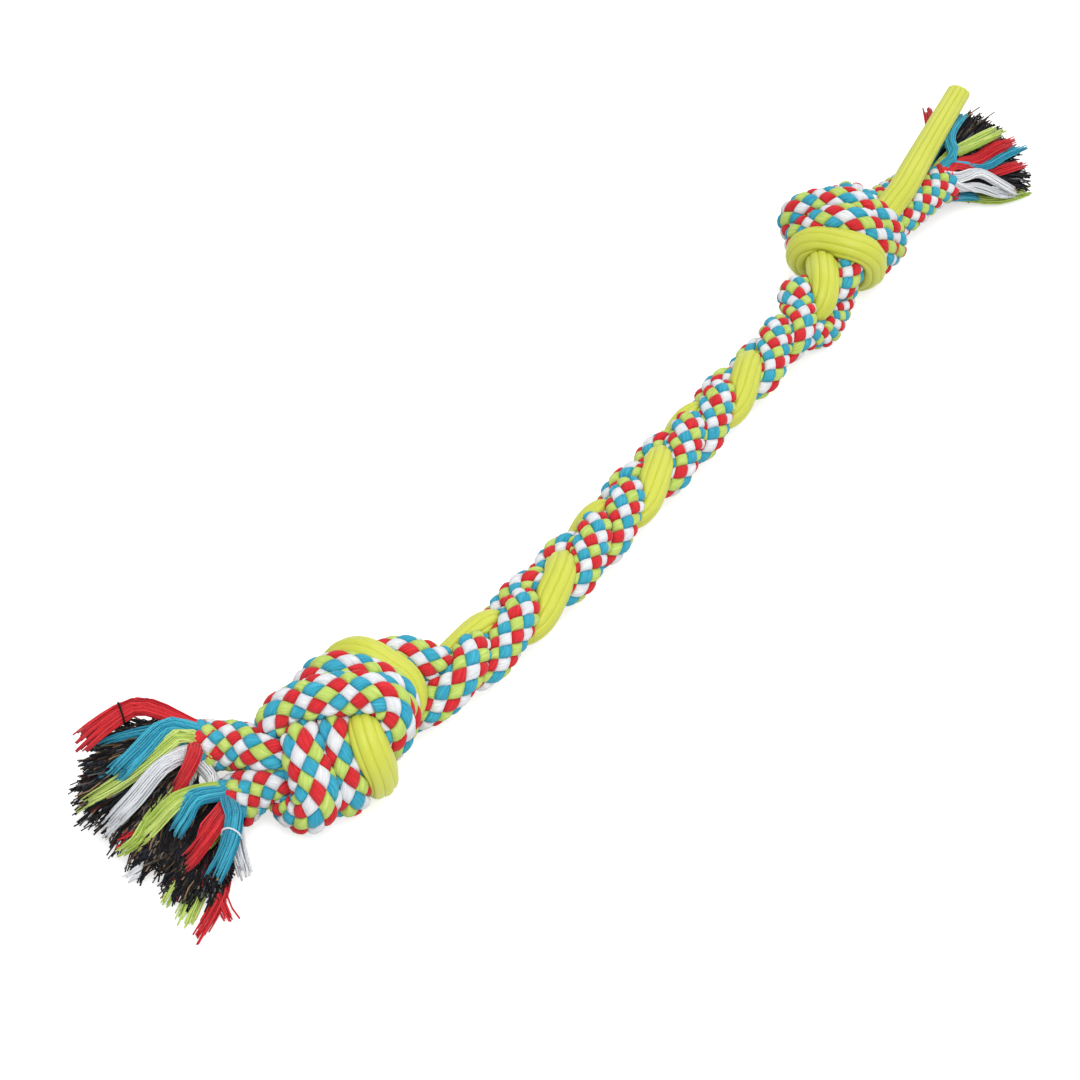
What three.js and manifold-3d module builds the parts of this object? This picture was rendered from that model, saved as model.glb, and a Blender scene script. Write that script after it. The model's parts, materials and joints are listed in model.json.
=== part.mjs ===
// Rope dog toy: two braided cotton ropes and one ribbed rubber strand, plaited together, with a tight
// overhand knot of all three near each end and frayed rope tails beyond the knots.
// Millimetres, +Z up, +X along the toy from the near tassels to the far tassels.
import * as THREE from "three";
import { mergeVertices } from "three/addons/utils/BufferGeometryUtils.js";
import Module from "manifold-3d";

const wasm = await Module();
wasm.setup();

// Strands
const ROPE_D = 15;
const RUBBER_D = 12.5;
const RUBBER_CUT = { d: 8.6, long: 95, ease: 1.5 }; // its far tail is drawn thin over this length
const STEP = 6.5; // distance between the points of a route
const FINE_STEP = 0.5; // the same where the plait's middle line is searched
const SIDES = 8;
const FACET = { strand: 0.1, hank: 0.02 }; // crumbs of a cut smaller than this are smoothed away
const GAP = 0.4; // left between pieces that touch
const SOFT_GAP = 0.7; // left between strands that press on each other
const FULL_GAP = 0.2; // the same, for the fuller strand that its neighbours are hollowed by
// Share of its thickness that a strand keeps under the squeeze of a knot and of the plait, and that it is
// drawn to where the plait is pulled tight
const ROPE_FIRM = { knot: 0.7, plait: 0.68, drawn: 0.86 };
const RUBBER_FIRM = { knot: 0.88, plait: 0.78, drawn: 0.94 };

// Plait
const TURNS = 4;
const PLAIT_SWAY = 7.6; // side to side reach of a strand's middle
const PLAIT_RISE = 4.6; // reach across the flat of the plait
const PLAIT_ROLL = 38; // degrees that the flat of the plait leans
// The plait pulled tight: the share of its reach that a strand keeps, the most that is, the run from either
// knot over which the pull sets in, and how far the plait bows in its middle
const TIGHT = { share: 0.72, most: 8.5, run: 12, bow: [0, 1.2, 1.5] };

// Knots
const RIBBON = 9.5; // distance between neighbouring strands in a knot's wraps
const CROWN = 3; // how far the middle strand stands proud of the other two there
const RIBBON_TILT = 0.3; // share of its place along the toy that counts in a wrap's outward line
const ENTRY = 0.6; // share of the ribbon's width where it enters and leaves a knot
const SETTLE_STEPS = 240;
const PULL = 0.35; // share of the way to its neighbours' middle that a point is pulled in one step
const PUSH = 0.25; // share of what two points lack in distance that each is pushed in one step
const OWN_REACH = 1.6; // stretch of a strand, in thicknesses, that doesn't press on itself
const KNOT_REACH = 40; // from a knot's middle to the last of its wraps
const LAID = { all: 24, none: 42 }; // distances from a knot's middle between which its resting pose fades
const TAIL_HELD = { all: 6, none: 36 }; // lengths from a strand's end between which the pose sets in
const DRIFT = { all: 10, none: 60 }; // the same, between which a tail's own drift fades
const STAND = ROPE_D / 10; // depth of the flat that the knots stand on

// Bends: each is a drum about a line, which the next piece turns round
const PLAIT_DRUM = 22;
const TAIL_DRUM = 12;
const TAIL_ROOT = 16; // from a rope tail's end back to its bend
const RUBBER_DRUM = 8;
const RUBBER_ROOT = 66;
const DRUM_SIDES = 40;

// Tassels
const RIM = 5.2; // from the rope's middle to a hank where it leaves the rope
const HANK = { root: 2.4, belly: 5.2, tip: 4.4 };
const CORE = { root: 3.6, belly: 9.5, tip: 9 };
const HANK_STEPS = 7;
const KNEE = { rim: 1.35, reach: 0.35 }; // a hank's bend: its share of the rim and of the reach to the tip
const BELLY = 0.6; // share of a hank's length at which it is thickest
const CORE_INSIDE = 4; // length of core yarn that is held in the rope's end
const FLOOR_GAP = 0.6;

const vec = (p) => new THREE.Vector3(...p);
const deg = THREE.MathUtils.degToRad;
const UP = vec([0, 0, 1]);

// Middle line of the plait
const PLAIT_LINE = new THREE.CatmullRomCurve3(
  [
    [-148, -54, 21], [-124, -51, 18.5], [-76, -41.5, 16.5], [-24, -29.5, 16], [32, -17, 16.5],
    [78, -7, 18.5], [103, 0, 21],
  ].map(vec), false, "centripetal",
);

const PLAIT_LONG = PLAIT_LINE.getLength();
const PLAIT_MIDDLE = PLAIT_LINE.getSpacedPoints(Math.round(PLAIT_LONG / FINE_STEP));

// Route of the three strands together through an overhand knot: outward along the toy, up and forward
const KNOT_ROUTE = [
  [-26, 2, -2], [-12, 4, -3], [0, 8, 1], [5, 5, 9], [3, -6, 15], [-3, -16, 13.5], [-1, -24, 2.5],
  [12, -17, -11], [17, -3, -16], [15, 12, -12], [9, 20, -2], [-2, 20, 9], [-14, 13, 15], [-19, 0, 15],
  [-16, -9, 5], [-8, -11, -5], [4, -8, -5], [18, -3, 0],
].map(vec);

const STRANDS = [
  { name: "rope_a", d: ROPE_D, firm: ROPE_FIRM, side: 0, phase: 2 / 3 },
  { name: "rope_b", d: ROPE_D, firm: ROPE_FIRM, side: -1, phase: 0 },
  { name: "rubber", d: RUBBER_D, firm: RUBBER_FIRM, side: 1.15, phase: 1 / 3 },
];

// The two ends: each knot's middle, the heading of its outward line, the lean of its front, how the tied
// knot rests (turned on the floor, in degrees, its share of the tied size outwards, across and upwards, how
// far it is moved, and how far its tails drift), the points of its tails, the tail that bends up rather than
// sideways, and for each rope the tip and the place round the rim, in degrees, of each yarn hank
const ENDS = [
  {
    name: "near", centre: vec([-183, -51, 24]), heading: 163, lean: 44, lifting: "rope_b",
    rest: { turned: 19, pressed: [1.02, 0.9, 0.82], moved: [-1.4, -1.4, 0], drift: {} },
    tails: {
      rope_a: [[-207, -36, 13], [-217, -38, 12]],
      rope_b: [[-203, -25, 23], [-214, -21, 22]],
      rubber: [[-203, -18, 14], [-209, -12, 12]],
    },
    hanks: {
      rope_a: {
        lime: { tip: [-248, -31, 9], rim: 20 }, red: { tip: [-247, -50, 9], rim: 80 },
        blue: { tip: [-241, -60, 8], rim: 140 }, white: { tip: [-233, -66, 5], rim: 200 },
        core: { tip: [-248, -46, 6] },
      },
      rope_b: {
        red: { tip: [-241, 7, 22], rim: 20 }, blue: { tip: [-245, -8, 20], rim: 80 },
        lime: { tip: [-248, -12, 13], rim: 140 }, white: { tip: [-251, -22, 12], rim: 200 },
        core: { tip: [-247, -2, 8] },
      },
    },
  },
  {
    name: "far", centre: vec([141, 12, 24]), heading: 9, lean: -18, lifting: "rubber",
    rest: {
      turned: 0, pressed: [0.86, 0.98, 0.79], moved: [3.2, 2.8, 0],
      drift: { rope_a: [0, 0, 6], rope_b: [1.7, -3.2, 0] },
    },
    tails: {
      rope_a: [[194, 18, 15], [212, 17, 14]],
      rope_b: [[195, 31, 15], [213, 35, 13]],
      rubber: [[172, 13, 38], [239, 35, 41]],
    },
    hanks: {
      rope_a: {
        white: { tip: [242, -4, 5], rim: 0 }, blue: { tip: [248, 0, 16], rim: 55 },
        red: { tip: [249, 8, 20], rim: 110 }, lime: { tip: [251, 17, 21], rim: 165 },
        core: { tip: [251, 9, 8] },
      },
      rope_b: {
        blue: { tip: [245, 32, 25], rim: 50 }, lime: { tip: [250, 42, 21], rim: 105 },
        red: { tip: [252, 55, 18], rim: 160 }, white: { tip: [247, 58, 8], rim: 215 },
        core: { tip: [253, 42, 8] },
      },
    },
  },
];

const COLOURS = {
  red: 0xd8323c, white: 0xeef0f2, blue: 0x2f9fc4, lime: 0xaed65a, core: 0x23242a,
  rope: 0xc9b9a2, rubber: 0xcbdc3c,
};

function cotton(colour) {
  return new THREE.MeshStandardMaterial({ color: colour, roughness: 0.9, metalness: 0 });
}

function rubberMaterial() {
  return new THREE.MeshStandardMaterial({ color: COLOURS.rubber, roughness: 0.5, metalness: 0 });
}

// The outward line of one end of the toy.
function wayOut(end) {
  return new THREE.Vector3(Math.cos(deg(end.heading)), Math.sin(deg(end.heading)), 0);
}

// The points of a knot's wraps for one strand, at one end of the toy.
function knotPoints(end, side) {
  const out = wayOut(end);
  const right = new THREE.Vector3(0, -1, 0).addScaledVector(out, out.y).normalize();
  const lean = deg(end.lean);
  const front = UP.clone().multiplyScalar(Math.cos(lean)).addScaledVector(right, Math.sin(lean));
  const up = out.clone().cross(front);
  const last = KNOT_ROUTE.length - 1;
  return KNOT_ROUTE.map((p, i) => {
    const [before, after] = [KNOT_ROUTE[Math.max(i - 1, 0)], KNOT_ROUTE[Math.min(i + 1, last)]];
    const along = after.clone().sub(before).normalize();
    const outward = new THREE.Vector3(RIBBON_TILT * p.x, p.y, p.z);
    outward.addScaledVector(along, -outward.dot(along)).normalize();
    const left = along.clone().cross(outward);
    const ease = i < 2 || i > last - 2 ? ENTRY : 1;
    const q = p.clone().addScaledVector(left, side * RIBBON * ease);
    q.addScaledVector(outward, side ? 0 : CROWN * ease);
    return end.centre.clone().addScaledVector(out, q.x).addScaledVector(up, q.y)
      .addScaledVector(front, q.z);
  });
}

// The points of one strand in the plait.
function plaitPoints(phase) {
  const count = Math.round(PLAIT_LONG / STEP);
  return Array.from({ length: count + 1 }, (_, i) => {
    const u = i / count;
    const t = PLAIT_LINE.getTangentAt(u);
    const across = new THREE.Vector3(t.y, -t.x, 0).normalize().applyAxisAngle(t, -deg(PLAIT_ROLL));
    const rise = across.clone().cross(t);
    const turn = 2 * Math.PI * (TURNS * u + phase);
    return PLAIT_LINE.getPointAt(u).addScaledVector(across, PLAIT_SWAY * Math.sin(turn))
      .addScaledVector(rise, -PLAIT_RISE * Math.sin(2 * turn));
  });
}

// Points { p, firm } spread evenly along a line of such points.
function spread(points, step) {
  const at = [0];
  for (let i = 1; i < points.length; i++) at.push(at[i - 1] + points[i].p.distanceTo(points[i - 1].p));
  const whole = at[at.length - 1];
  const count = Math.round(whole / step);
  let k = 1;
  return Array.from({ length: count + 1 }, (_, i) => {
    const s = (i / count) * whole;
    while (k < at.length - 1 && at[k] < s) k++;
    const w = (s - at[k - 1]) / (at[k] - at[k - 1]);
    const [a, b] = [points[k - 1], points[k]];
    return { p: a.p.clone().lerp(b.p, w), firm: a.firm + (b.firm - a.firm) * w };
  });
}

// A strand from tail to tail before it is pulled tight.
function looseRoute(strand) {
  const [near, far] = ENDS;
  const mark = (points, firm) => points.map((p) => ({ p, firm }));
  const marked = [
    ...mark(near.tails[strand.name].map(vec).reverse(), 1),
    ...mark(knotPoints(near, strand.side).reverse(), strand.firm.knot),
    ...mark(plaitPoints(strand.phase), strand.firm.plait),
    ...mark(knotPoints(far, strand.side), strand.firm.knot),
    ...mark(far.tails[strand.name].map(vec), 1),
  ];
  const curve = new THREE.CatmullRomCurve3(marked.map((m) => m.p), false, "centripetal");
  const last = marked.length - 1;
  const fine = Array.from({ length: 4 * last + 1 }, (_, n) => {
    const i = Math.min(Math.floor(n / 4), last - 1);
    const w = n / 4 - i;
    const firm = marked[i].firm + (marked[i + 1].firm - marked[i].firm) * w;
    return { p: curve.getPoint(n / 4 / last), firm };
  });
  return spread(fine, STEP);
}

// One step of pressing apart every two points that are closer than their strands' thickness.
function press(all) {
  for (let a = 0; a < all.length; a++) {
    for (let b = a + 1; b < all.length; b++) {
      const [A, B] = [all[a], all[b]];
      const need = A.r + B.r;
      const gap = A.q.p.clone().sub(B.q.p);
      const d = gap.length();
      if (d >= need || d === 0) continue;
      if (A.strand === B.strand && (b - a) * STEP < OWN_REACH * need) continue;
      gap.multiplyScalar((PUSH * (need - d)) / d);
      if (!A.held) A.q.p.add(gap);
      if (!B.held) B.q.p.sub(gap);
    }
  }
}

// Pulls the strands tight while they press each other apart, until the knots sit as tied.
function settle(strands) {
  for (let n = 0; n < SETTLE_STEPS; n++) {
    strands.forEach((s) => {
      const old = s.points.map((q) => q.p.clone());
      for (let i = 1; i < old.length - 1; i++) {
        s.points[i].p.lerp(old[i - 1].clone().add(old[i + 1]).multiplyScalar(0.5), PULL);
      }
    });
    const all = strands.flatMap((s) => s.points.map((q, i) => ({
      q, strand: s, r: (s.d / 2) * q.firm, held: i === 0 || i === s.points.length - 1,
    })));
    press(all);
    press(all);
    if (n % 10 === 9) strands.forEach((s) => { s.points = spread(s.points, STEP); });
  }
}

// Lays one end's tied knot as it rests, less and less away from its middle, and its tails.
function lay(strands, end) {
  const out = wayOut(end);
  const across = UP.clone().cross(out);
  const { turned, pressed, moved, drift } = end.rest;
  strands.forEach((s) => s.points.forEach((q, i) => {
    const d = q.p.clone().sub(end.centre);
    const fromEnd = (end.name === "near" ? i : s.points.length - 1 - i) * STEP;
    const share = (1 - THREE.MathUtils.smoothstep(d.length(), LAID.all, LAID.none))
      * THREE.MathUtils.smoothstep(fromEnd, TAIL_HELD.all, TAIL_HELD.none);
    const goal = out.clone().multiplyScalar(pressed[0] * d.dot(out))
      .addScaledVector(across, pressed[1] * d.dot(across)).addScaledVector(UP, pressed[2] * d.z)
      .applyAxisAngle(UP, deg(turned)).add(vec(moved));
    const loose = 1 - THREE.MathUtils.smoothstep(fromEnd, DRIFT.all, DRIFT.none);
    q.p.addScaledVector(goal.sub(d), share).addScaledVector(vec(drift[s.name] ?? [0, 0, 0]), loose);
  }));
}

// Pulls the plait tight: its strands are drawn to its bowed middle line, less and less towards the knots.
function drawIn(strands) {
  strands.forEach((s) => s.points.forEach((q) => {
    const far = PLAIT_MIDDLE.map((m) => m.distanceTo(q.p));
    const reach = Math.min(...far);
    const nearest = far.indexOf(reach);
    const u = nearest / (PLAIT_MIDDLE.length - 1);
    q.tight = THREE.MathUtils.smoothstep(u * PLAIT_LONG, 0, TIGHT.run)
      * THREE.MathUtils.smoothstep((1 - u) * PLAIT_LONG, 0, TIGHT.run);
    const kept = (TIGHT.most * Math.tanh((TIGHT.share * reach) / TIGHT.most)) / reach;
    const goal = PLAIT_MIDDLE[nearest].clone().lerp(q.p, kept)
      .addScaledVector(vec(TIGHT.bow), Math.sin(Math.PI * u) ** 2);
    q.p.lerp(goal, q.tight);
  }));
}

// Lowers or lifts the toy, more at one end if need be, until both knots reach STAND under the floor.
function stand(strands) {
  const [near, far] = ENDS.map((end) => {
    const low = strands.flatMap((s) => s.points
      .filter((q) => q.p.distanceTo(end.centre) < KNOT_REACH).map((q) => q.p.z - s.d / 2));
    return -STAND - Math.min(...low);
  });
  const span = ENDS[1].centre.x - ENDS[0].centre.x;
  strands.forEach((s) => s.points.forEach((q) => {
    const w = THREE.MathUtils.clamp((q.p.x - ENDS[0].centre.x) / span, 0, 1);
    q.p.z += near + (far - near) * w;
  }));
}

// A strand's radius at a length before its far end and a share of the plait's pull: the rubber is drawn
// thin towards its cut.
function radiusAt(strand, before, tight) {
  const slim = THREE.MathUtils.lerp(1, strand.firm.drawn, tight);
  if (strand.name !== "rubber") return (strand.d / 2) * slim;
  const share = Math.min(before / RUBBER_CUT.long, 1) ** RUBBER_CUT.ease;
  return (THREE.MathUtils.lerp(RUBBER_CUT.d, strand.d, share) / 2) * slim;
}

// Rings of a tube { p, r } on a line of points with a thickness.
const rings = (points, thickness) => points.map((p, i) => ({ p, r: thickness(i / (points.length - 1)) }));

// Three points for each step of a line of rings, for measuring how near a neighbour is.
function fine(line) {
  return line.flatMap((q, i) => {
    if (i === line.length - 1) return [q];
    const next = line[i + 1];
    return [0, 1 / 3, 2 / 3].map((w) => ({ p: q.p.clone().lerp(next.p, w), r: q.r + (next.r - q.r) * w }));
  });
}

// A closed tube on a line of rings, whose section gives way where a neighbour presses on it: each corner
// stops half a gap short of the plane between the two middles. A tight bend presses on itself likewise.
function softTube(line, neighbours, { gap = SOFT_GAP, floor = -Infinity } = {}) {
  const n = line.length;
  const others = neighbours.flatMap(fine);
  const positions = [];
  let side = null;
  const swell = (SOFT_GAP - gap) / 2;
  line.forEach(({ p, r }, i) => {
    const t = line[Math.min(i + 1, n - 1)].p.clone().sub(line[Math.max(i - 1, 0)].p).normalize();
    const c = p.clone().addScaledVector(t, i === 0 ? -swell : i === n - 1 ? swell : 0);
    side = side ?? (Math.abs(t.z) < 0.9 ? UP : vec([1, 0, 0]));
    side = side.clone().addScaledVector(t, -side.dot(t)).normalize();
    const over = t.clone().cross(side);
    const close = [...others, ...line.filter((_, j) => j !== i)]
      .filter((q) => q.p.distanceTo(c) < 2 * ROPE_D);
    for (let k = 0; k < SIDES; k++) {
      const a = (2 * Math.PI * k) / SIDES;
      const dir = side.clone().multiplyScalar(Math.cos(a)).addScaledVector(over, Math.sin(a));
      let reach = r + swell;
      close.forEach((q) => {
        const d = q.p.clone().sub(c);
        const lean = d.dot(dir);
        if (lean <= 0) return;
        const half = (d.lengthSq() + r * r - q.r * q.r) / (2 * lean);
        reach = Math.min(reach, half - (gap / 2) * (d.length() / lean));
      });
      if (dir.z < 0) reach = Math.min(reach, (floor - c.z) / dir.z);
      positions.push(...dir.multiplyScalar(Math.max(reach, GAP)).add(c).toArray());
    }
  });
  const index = [];
  for (let i = 0; i < n - 1; i++) {
    for (let k = 0; k < SIDES; k++) {
      const a = i * SIDES + k;
      const b = i * SIDES + ((k + 1) % SIDES);
      index.push(a, b, a + SIDES, b, b + SIDES, a + SIDES);
    }
  }
  const end = (n - 1) * SIDES;
  for (let k = 1; k < SIDES - 1; k++) index.push(0, k + 1, k, end, end + k, end + k + 1);
  const g = new THREE.BufferGeometry();
  g.setAttribute("position", new THREE.Float32BufferAttribute(positions, 3));
  g.setIndex(index);
  return g;
}

function solid(geometry) {
  const g = geometry.clone();
  g.deleteAttribute("normal");
  g.deleteAttribute("uv");
  const merged = mergeVertices(g, 1e-4);
  return new wasm.Manifold(new wasm.Mesh({
    numProp: 3,
    vertProperties: merged.attributes.position.array,
    triVerts: new Uint32Array(merged.index.array),
  }));
}

// The largest piece of a body, without any crumb that a cut leaves.
function largest(body) {
  return body.decompose().reduce((a, b) => (b.volume() > a.volume() ? b : a));
}

// Solids of soft tubes that lie together: each is hollowed where an earlier one fills its own side.
function softSolids(lines, floor) {
  const others = (line) => lines.filter((o) => o !== line);
  const full = lines.map((line) => solid(softTube(line, others(line), { gap: FULL_GAP, floor })));
  return lines.map((line, k) => full.slice(0, k).reduce(
    (body, earlier) => body.subtract(earlier), solid(softTube(line, others(line), { floor })),
  ));
}

function addMesh(name, body, material, facet = FACET.strand) {
  const m = largest(body).asOriginal().simplify(facet).getMesh();
  const g = new THREE.BufferGeometry();
  g.setAttribute("position", new THREE.BufferAttribute(new Float32Array(m.vertProperties), 3));
  g.setIndex(new THREE.BufferAttribute(new Uint32Array(m.triVerts), 1));
  g.computeVertexNormals();
  const made = new THREE.Mesh(g, material);
  made.name = name;
  toy.add(made);
}

// A long drum about a bend's line.
function drum(bend, radius) {
  const g = new THREE.CylinderGeometry(radius, radius, 8 * ROPE_D, DRUM_SIDES);
  g.applyQuaternion(new THREE.Quaternion().setFromUnitVectors(vec([0, 1, 0]), bend.line));
  g.translate(...bend.at.toArray());
  return solid(g);
}

// A block that starts at a bend and runs along a direction, as wide as given.
function block(bend, along, wide) {
  const long = 40 * ROPE_D;
  const across = UP.clone().cross(along).normalize();
  const g = new THREE.BoxGeometry(long, wide, wide).translate(long / 2, 0, 0);
  g.applyMatrix4(new THREE.Matrix4().makeBasis(along, across, along.clone().cross(across)));
  g.translate(...bend.at.toArray());
  return solid(g);
}

// What each side of a bend keeps: one side holds the drum, the other is hollowed round it.
function sidesOf(bend, radius, wide, drumFirst) {
  const back = block(bend, bend.along.clone().negate(), wide);
  const front = block(bend, bend.along, wide);
  const whole = drum(bend, radius);
  const hollow = drum(bend, radius + GAP);
  return drumFirst
    ? [back.add(whole), front.subtract(hollow)]
    : [back.subtract(hollow), front.add(whole)];
}

const toy = new THREE.Group();

const strands = STRANDS.map((s) => ({ ...s, points: looseRoute(s) }));
settle(strands);
ENDS.forEach((end) => lay(strands, end));
drawIn(strands);
stand(strands);
strands.forEach((s) => {
  const last = s.points.length - 1;
  s.line = s.points.map((q, i) => ({ p: q.p, r: radiusAt(s, (last - i) * STEP, q.tight) }));
});

const FLOOR_SPAN = 50 * ROPE_D;
const floorBlock = solid(new THREE.BoxGeometry(FLOOR_SPAN, FLOOR_SPAN, 2 * ROPE_D).translate(0, 0, -ROPE_D));

// Bends of the plait: sideways and up-and-down by turns
const PLAIT_BENDS = [
  { name: "near_knot_bend", u: 0.08, up: false, drumFirst: true },
  { name: "plait_near_lift", u: 0.28, up: true, drumFirst: true },
  { name: "plait_middle_bend", u: 0.44, up: false, drumFirst: true },
  { name: "plait_far_lift", u: 0.72, up: true, drumFirst: false },
  { name: "far_knot_bend", u: 0.94, up: false, drumFirst: false },
].map((b) => {
  const along = PLAIT_LINE.getTangentAt(b.u).setZ(0).normalize();
  const line = b.up ? UP.clone().cross(along) : UP.clone();
  return { ...b, at: PLAIT_LINE.getPointAt(b.u), along, line };
});

const STRETCHES = ["near_knot", "plait_1", "plait_2", "plait_3", "plait_4", "far_knot"];
const cuts = PLAIT_BENDS.map((b) => sidesOf(b, PLAIT_DRUM, 12 * ROPE_D, b.drumFirst));

// The bend at the root of a tail, and the tail's own share of its strand.
function tailBend(strand, end, root) {
  const way = end.name === "near" ? [...strand.points].reverse() : strand.points;
  let i = way.length - 1;
  let gone = 0;
  while (gone < root) {
    gone += way[i].p.distanceTo(way[i - 1].p);
    i--;
  }
  const at = way[i].p.clone();
  const along = way[way.length - 1].p.clone().sub(at).normalize();
  const line = end.lifting === strand.name ? UP.clone().cross(along).normalize() : UP.clone();
  return { name: `${end.name}_${strand.name}_tail`, at, along, line };
}

const bends = [...PLAIT_BENDS];
const tailEnds = [];

const whole = softSolids(strands.map((s) => s.line));
strands.forEach((s, n) => {
  const isRope = s.name !== "rubber";
  const material = () => (isRope ? cotton(COLOURS.rope) : rubberMaterial());
  let rest = whole[n].subtract(floorBlock);
  ENDS.forEach((end) => {
    if (!isRope && end.name === "near") return;
    const bend = tailBend(s, end, isRope ? TAIL_ROOT : RUBBER_ROOT);
    const radius = isRope ? TAIL_DRUM : RUBBER_DRUM;
    const share = largest(rest.intersect(block(bend, bend.along, 1.5 * s.d)));
    const tail = share.subtract(drum(bend, radius + GAP));
    rest = largest(rest.subtract(share.subtract(drum(bend, radius))));
    bends.push(bend);
    if (isRope) tailEnds.push({ rope: s, end, tail });
    else addMesh(`${s.name}_${end.name}_tail`, tail, material());
  });
  STRETCHES.forEach((name, k) => {
    let piece = rest;
    if (k > 0) piece = piece.intersect(cuts[k - 1][1]);
    if (k < cuts.length) piece = piece.intersect(cuts[k][0]);
    addMesh(`${s.name}_${name}`, piece, material());
  });
});

// The line of one hank of yarn: out of the rope's end along the rope, then over to its tip.
function hankLine(root, along, hank, inside, size) {
  const tip = vec(hank.tip);
  const right = along.clone().cross(UP).normalize();
  const over = right.clone().cross(along);
  const angle = deg(hank.rim ?? 0);
  const rim = hank.rim === undefined ? new THREE.Vector3()
    : right.multiplyScalar(RIM * Math.cos(angle)).addScaledVector(over, RIM * Math.sin(angle));
  const start = root.clone().add(rim).addScaledVector(along, -inside);
  const reach = tip.distanceTo(root);
  const knee = root.clone().addScaledVector(rim, KNEE.rim).addScaledVector(along, KNEE.reach * reach);
  const curve = new THREE.CatmullRomCurve3([start, knee, tip], false, "centripetal");
  const out = Math.max(inside, 0) / curve.getLength();
  const thick = (w) => (w < BELLY
    ? THREE.MathUtils.mapLinear(Math.max(w, out), out, BELLY, size.root, size.belly)
    : THREE.MathUtils.mapLinear(w, BELLY, 1, size.belly, size.tip));
  return rings(curve.getSpacedPoints(HANK_STEPS), thick);
}

// Frayed ends: the core yarn comes out of the cover, with one hank of each colour laid over it
ENDS.forEach((end) => {
  const here = tailEnds.filter((t) => t.end === end);
  const lines = here.flatMap(({ rope }) => {
    const line = end.name === "near" ? [...rope.points].reverse() : rope.points;
    const tip = line[line.length - 1].p;
    const along = tip.clone().sub(line[line.length - 2].p).normalize();
    return Object.entries(end.hanks[rope.name]).map(([colour, hank]) => {
      const core = colour === "core";
      const inside = core ? CORE_INSIDE : -2 * GAP;
      const size = core ? CORE : HANK;
      return { rope, colour, tip, along, line: hankLine(tip, along, hank, inside, size) };
    });
  });
  softSolids(lines.map((h) => h.line), FLOOR_GAP).forEach((body, k) => {
    const { rope, colour } = lines[k];
    addMesh(`${rope.name}_${end.name}_${colour}`, body, cotton(COLOURS[colour]), FACET.hank);
  });
  here.forEach(({ rope, tail }) => {
    const { tip, along } = lines.find((h) => h.rope === rope && h.colour === "core");
    const hole = [-CORE_INSIDE - GAP, 0, ROPE_D].map((t) => tip.clone().addScaledVector(along, t));
    const bore = solid(softTube(rings(hole, () => CORE.root + 2 * GAP), []));
    addMesh(`${rope.name}_${end.name}_tail`, tail.subtract(bore), cotton(COLOURS.rope));
  });
});

// The frame: the toy's box is centred over the origin, standing on the floor
const box = new THREE.Box3().setFromObject(toy);
const shift = new THREE.Vector3(-(box.min.x + box.max.x) / 2, -(box.min.y + box.max.y) / 2, 0);
toy.children.forEach((m) => m.geometry.translate(shift.x, shift.y, 0));

const words = (v) => v.toArray().map((x) => x.toFixed(2)).join(" ");
console.log("shift", words(shift), "size", words(box.getSize(new THREE.Vector3())));
bends.forEach((b) => console.log(b.name, "at", words(b.at.clone().add(shift)), "about", words(b.line)));

// Least distance between the middles of two stretches of a strand that lie side by side, less the room
// that the tube leaves there
const sideBySide = strands.map((s) => Math.min(...s.line.flatMap((a, i) => s.line.slice(i + 1)
  .filter((_, j) => (j + 1) * STEP > 2 * s.d).map((b) => a.p.distanceTo(b.p)))));
const apart = sideBySide.map((v) => v.toFixed(1)).join(" ");
console.log("strands side by side with themselves", apart, "apart, gap", SOFT_GAP);

export default toy;
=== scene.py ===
"""Looks of a rope dog toy: two braided cotton ropes and a ribbed rubber strand, plaited and knotted together.

Routes are worked out in millimetres, in the toy's own frame, and the meshes are made in metres.
"""

import json
import logging
import math
from dataclasses import dataclass, field, replace
from enum import Enum
from typing import Any

import bpy
import numpy as np
from mathutils import Matrix, Vector

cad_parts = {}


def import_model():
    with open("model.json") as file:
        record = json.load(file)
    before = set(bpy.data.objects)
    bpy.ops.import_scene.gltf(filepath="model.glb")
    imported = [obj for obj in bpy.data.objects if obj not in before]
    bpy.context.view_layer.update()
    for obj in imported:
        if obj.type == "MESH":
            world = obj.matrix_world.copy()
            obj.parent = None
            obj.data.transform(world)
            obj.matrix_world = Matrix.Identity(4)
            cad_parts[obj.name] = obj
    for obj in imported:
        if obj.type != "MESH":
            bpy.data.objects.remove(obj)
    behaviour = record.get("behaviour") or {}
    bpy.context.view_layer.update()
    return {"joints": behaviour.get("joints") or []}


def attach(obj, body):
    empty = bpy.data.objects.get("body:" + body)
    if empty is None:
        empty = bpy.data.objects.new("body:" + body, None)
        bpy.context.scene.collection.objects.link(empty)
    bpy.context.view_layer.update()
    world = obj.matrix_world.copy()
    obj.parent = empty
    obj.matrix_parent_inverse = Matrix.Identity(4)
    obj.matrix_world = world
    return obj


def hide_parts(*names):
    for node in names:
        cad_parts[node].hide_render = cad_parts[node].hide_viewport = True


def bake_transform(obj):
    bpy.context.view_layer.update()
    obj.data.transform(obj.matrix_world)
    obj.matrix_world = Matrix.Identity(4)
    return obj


LOG = logging.getLogger("rope_toy")
MM = 0.001
UP = np.array([0.0, 0.0, 1.0])
SHIFT = np.array([-1.44, 4.96, 0.0])  # from the axes that the routes are written in to the toy's frame

Array = np.ndarray
Pair = tuple[float, float]
Point = tuple[float, float, float]
Colour = tuple[float, float, float, float]


class Yarn(Enum):
    """The yarn colours of the ropes, with the order of their finishes on a braided cover."""

    RED = "red"
    WHITE = "white"
    BLUE = "blue"
    LIME = "lime"
    CORE = "core"


class End(Enum):
    """The two ends of the toy."""

    NEAR = "near"
    FAR = "far"


# Helpers


def unit(v: Array) -> Array:
    """Gives vectors their unit length, along the last axis."""
    return v / np.maximum(np.linalg.norm(v, axis=-1, keepdims=True), 1e-12)


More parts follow.
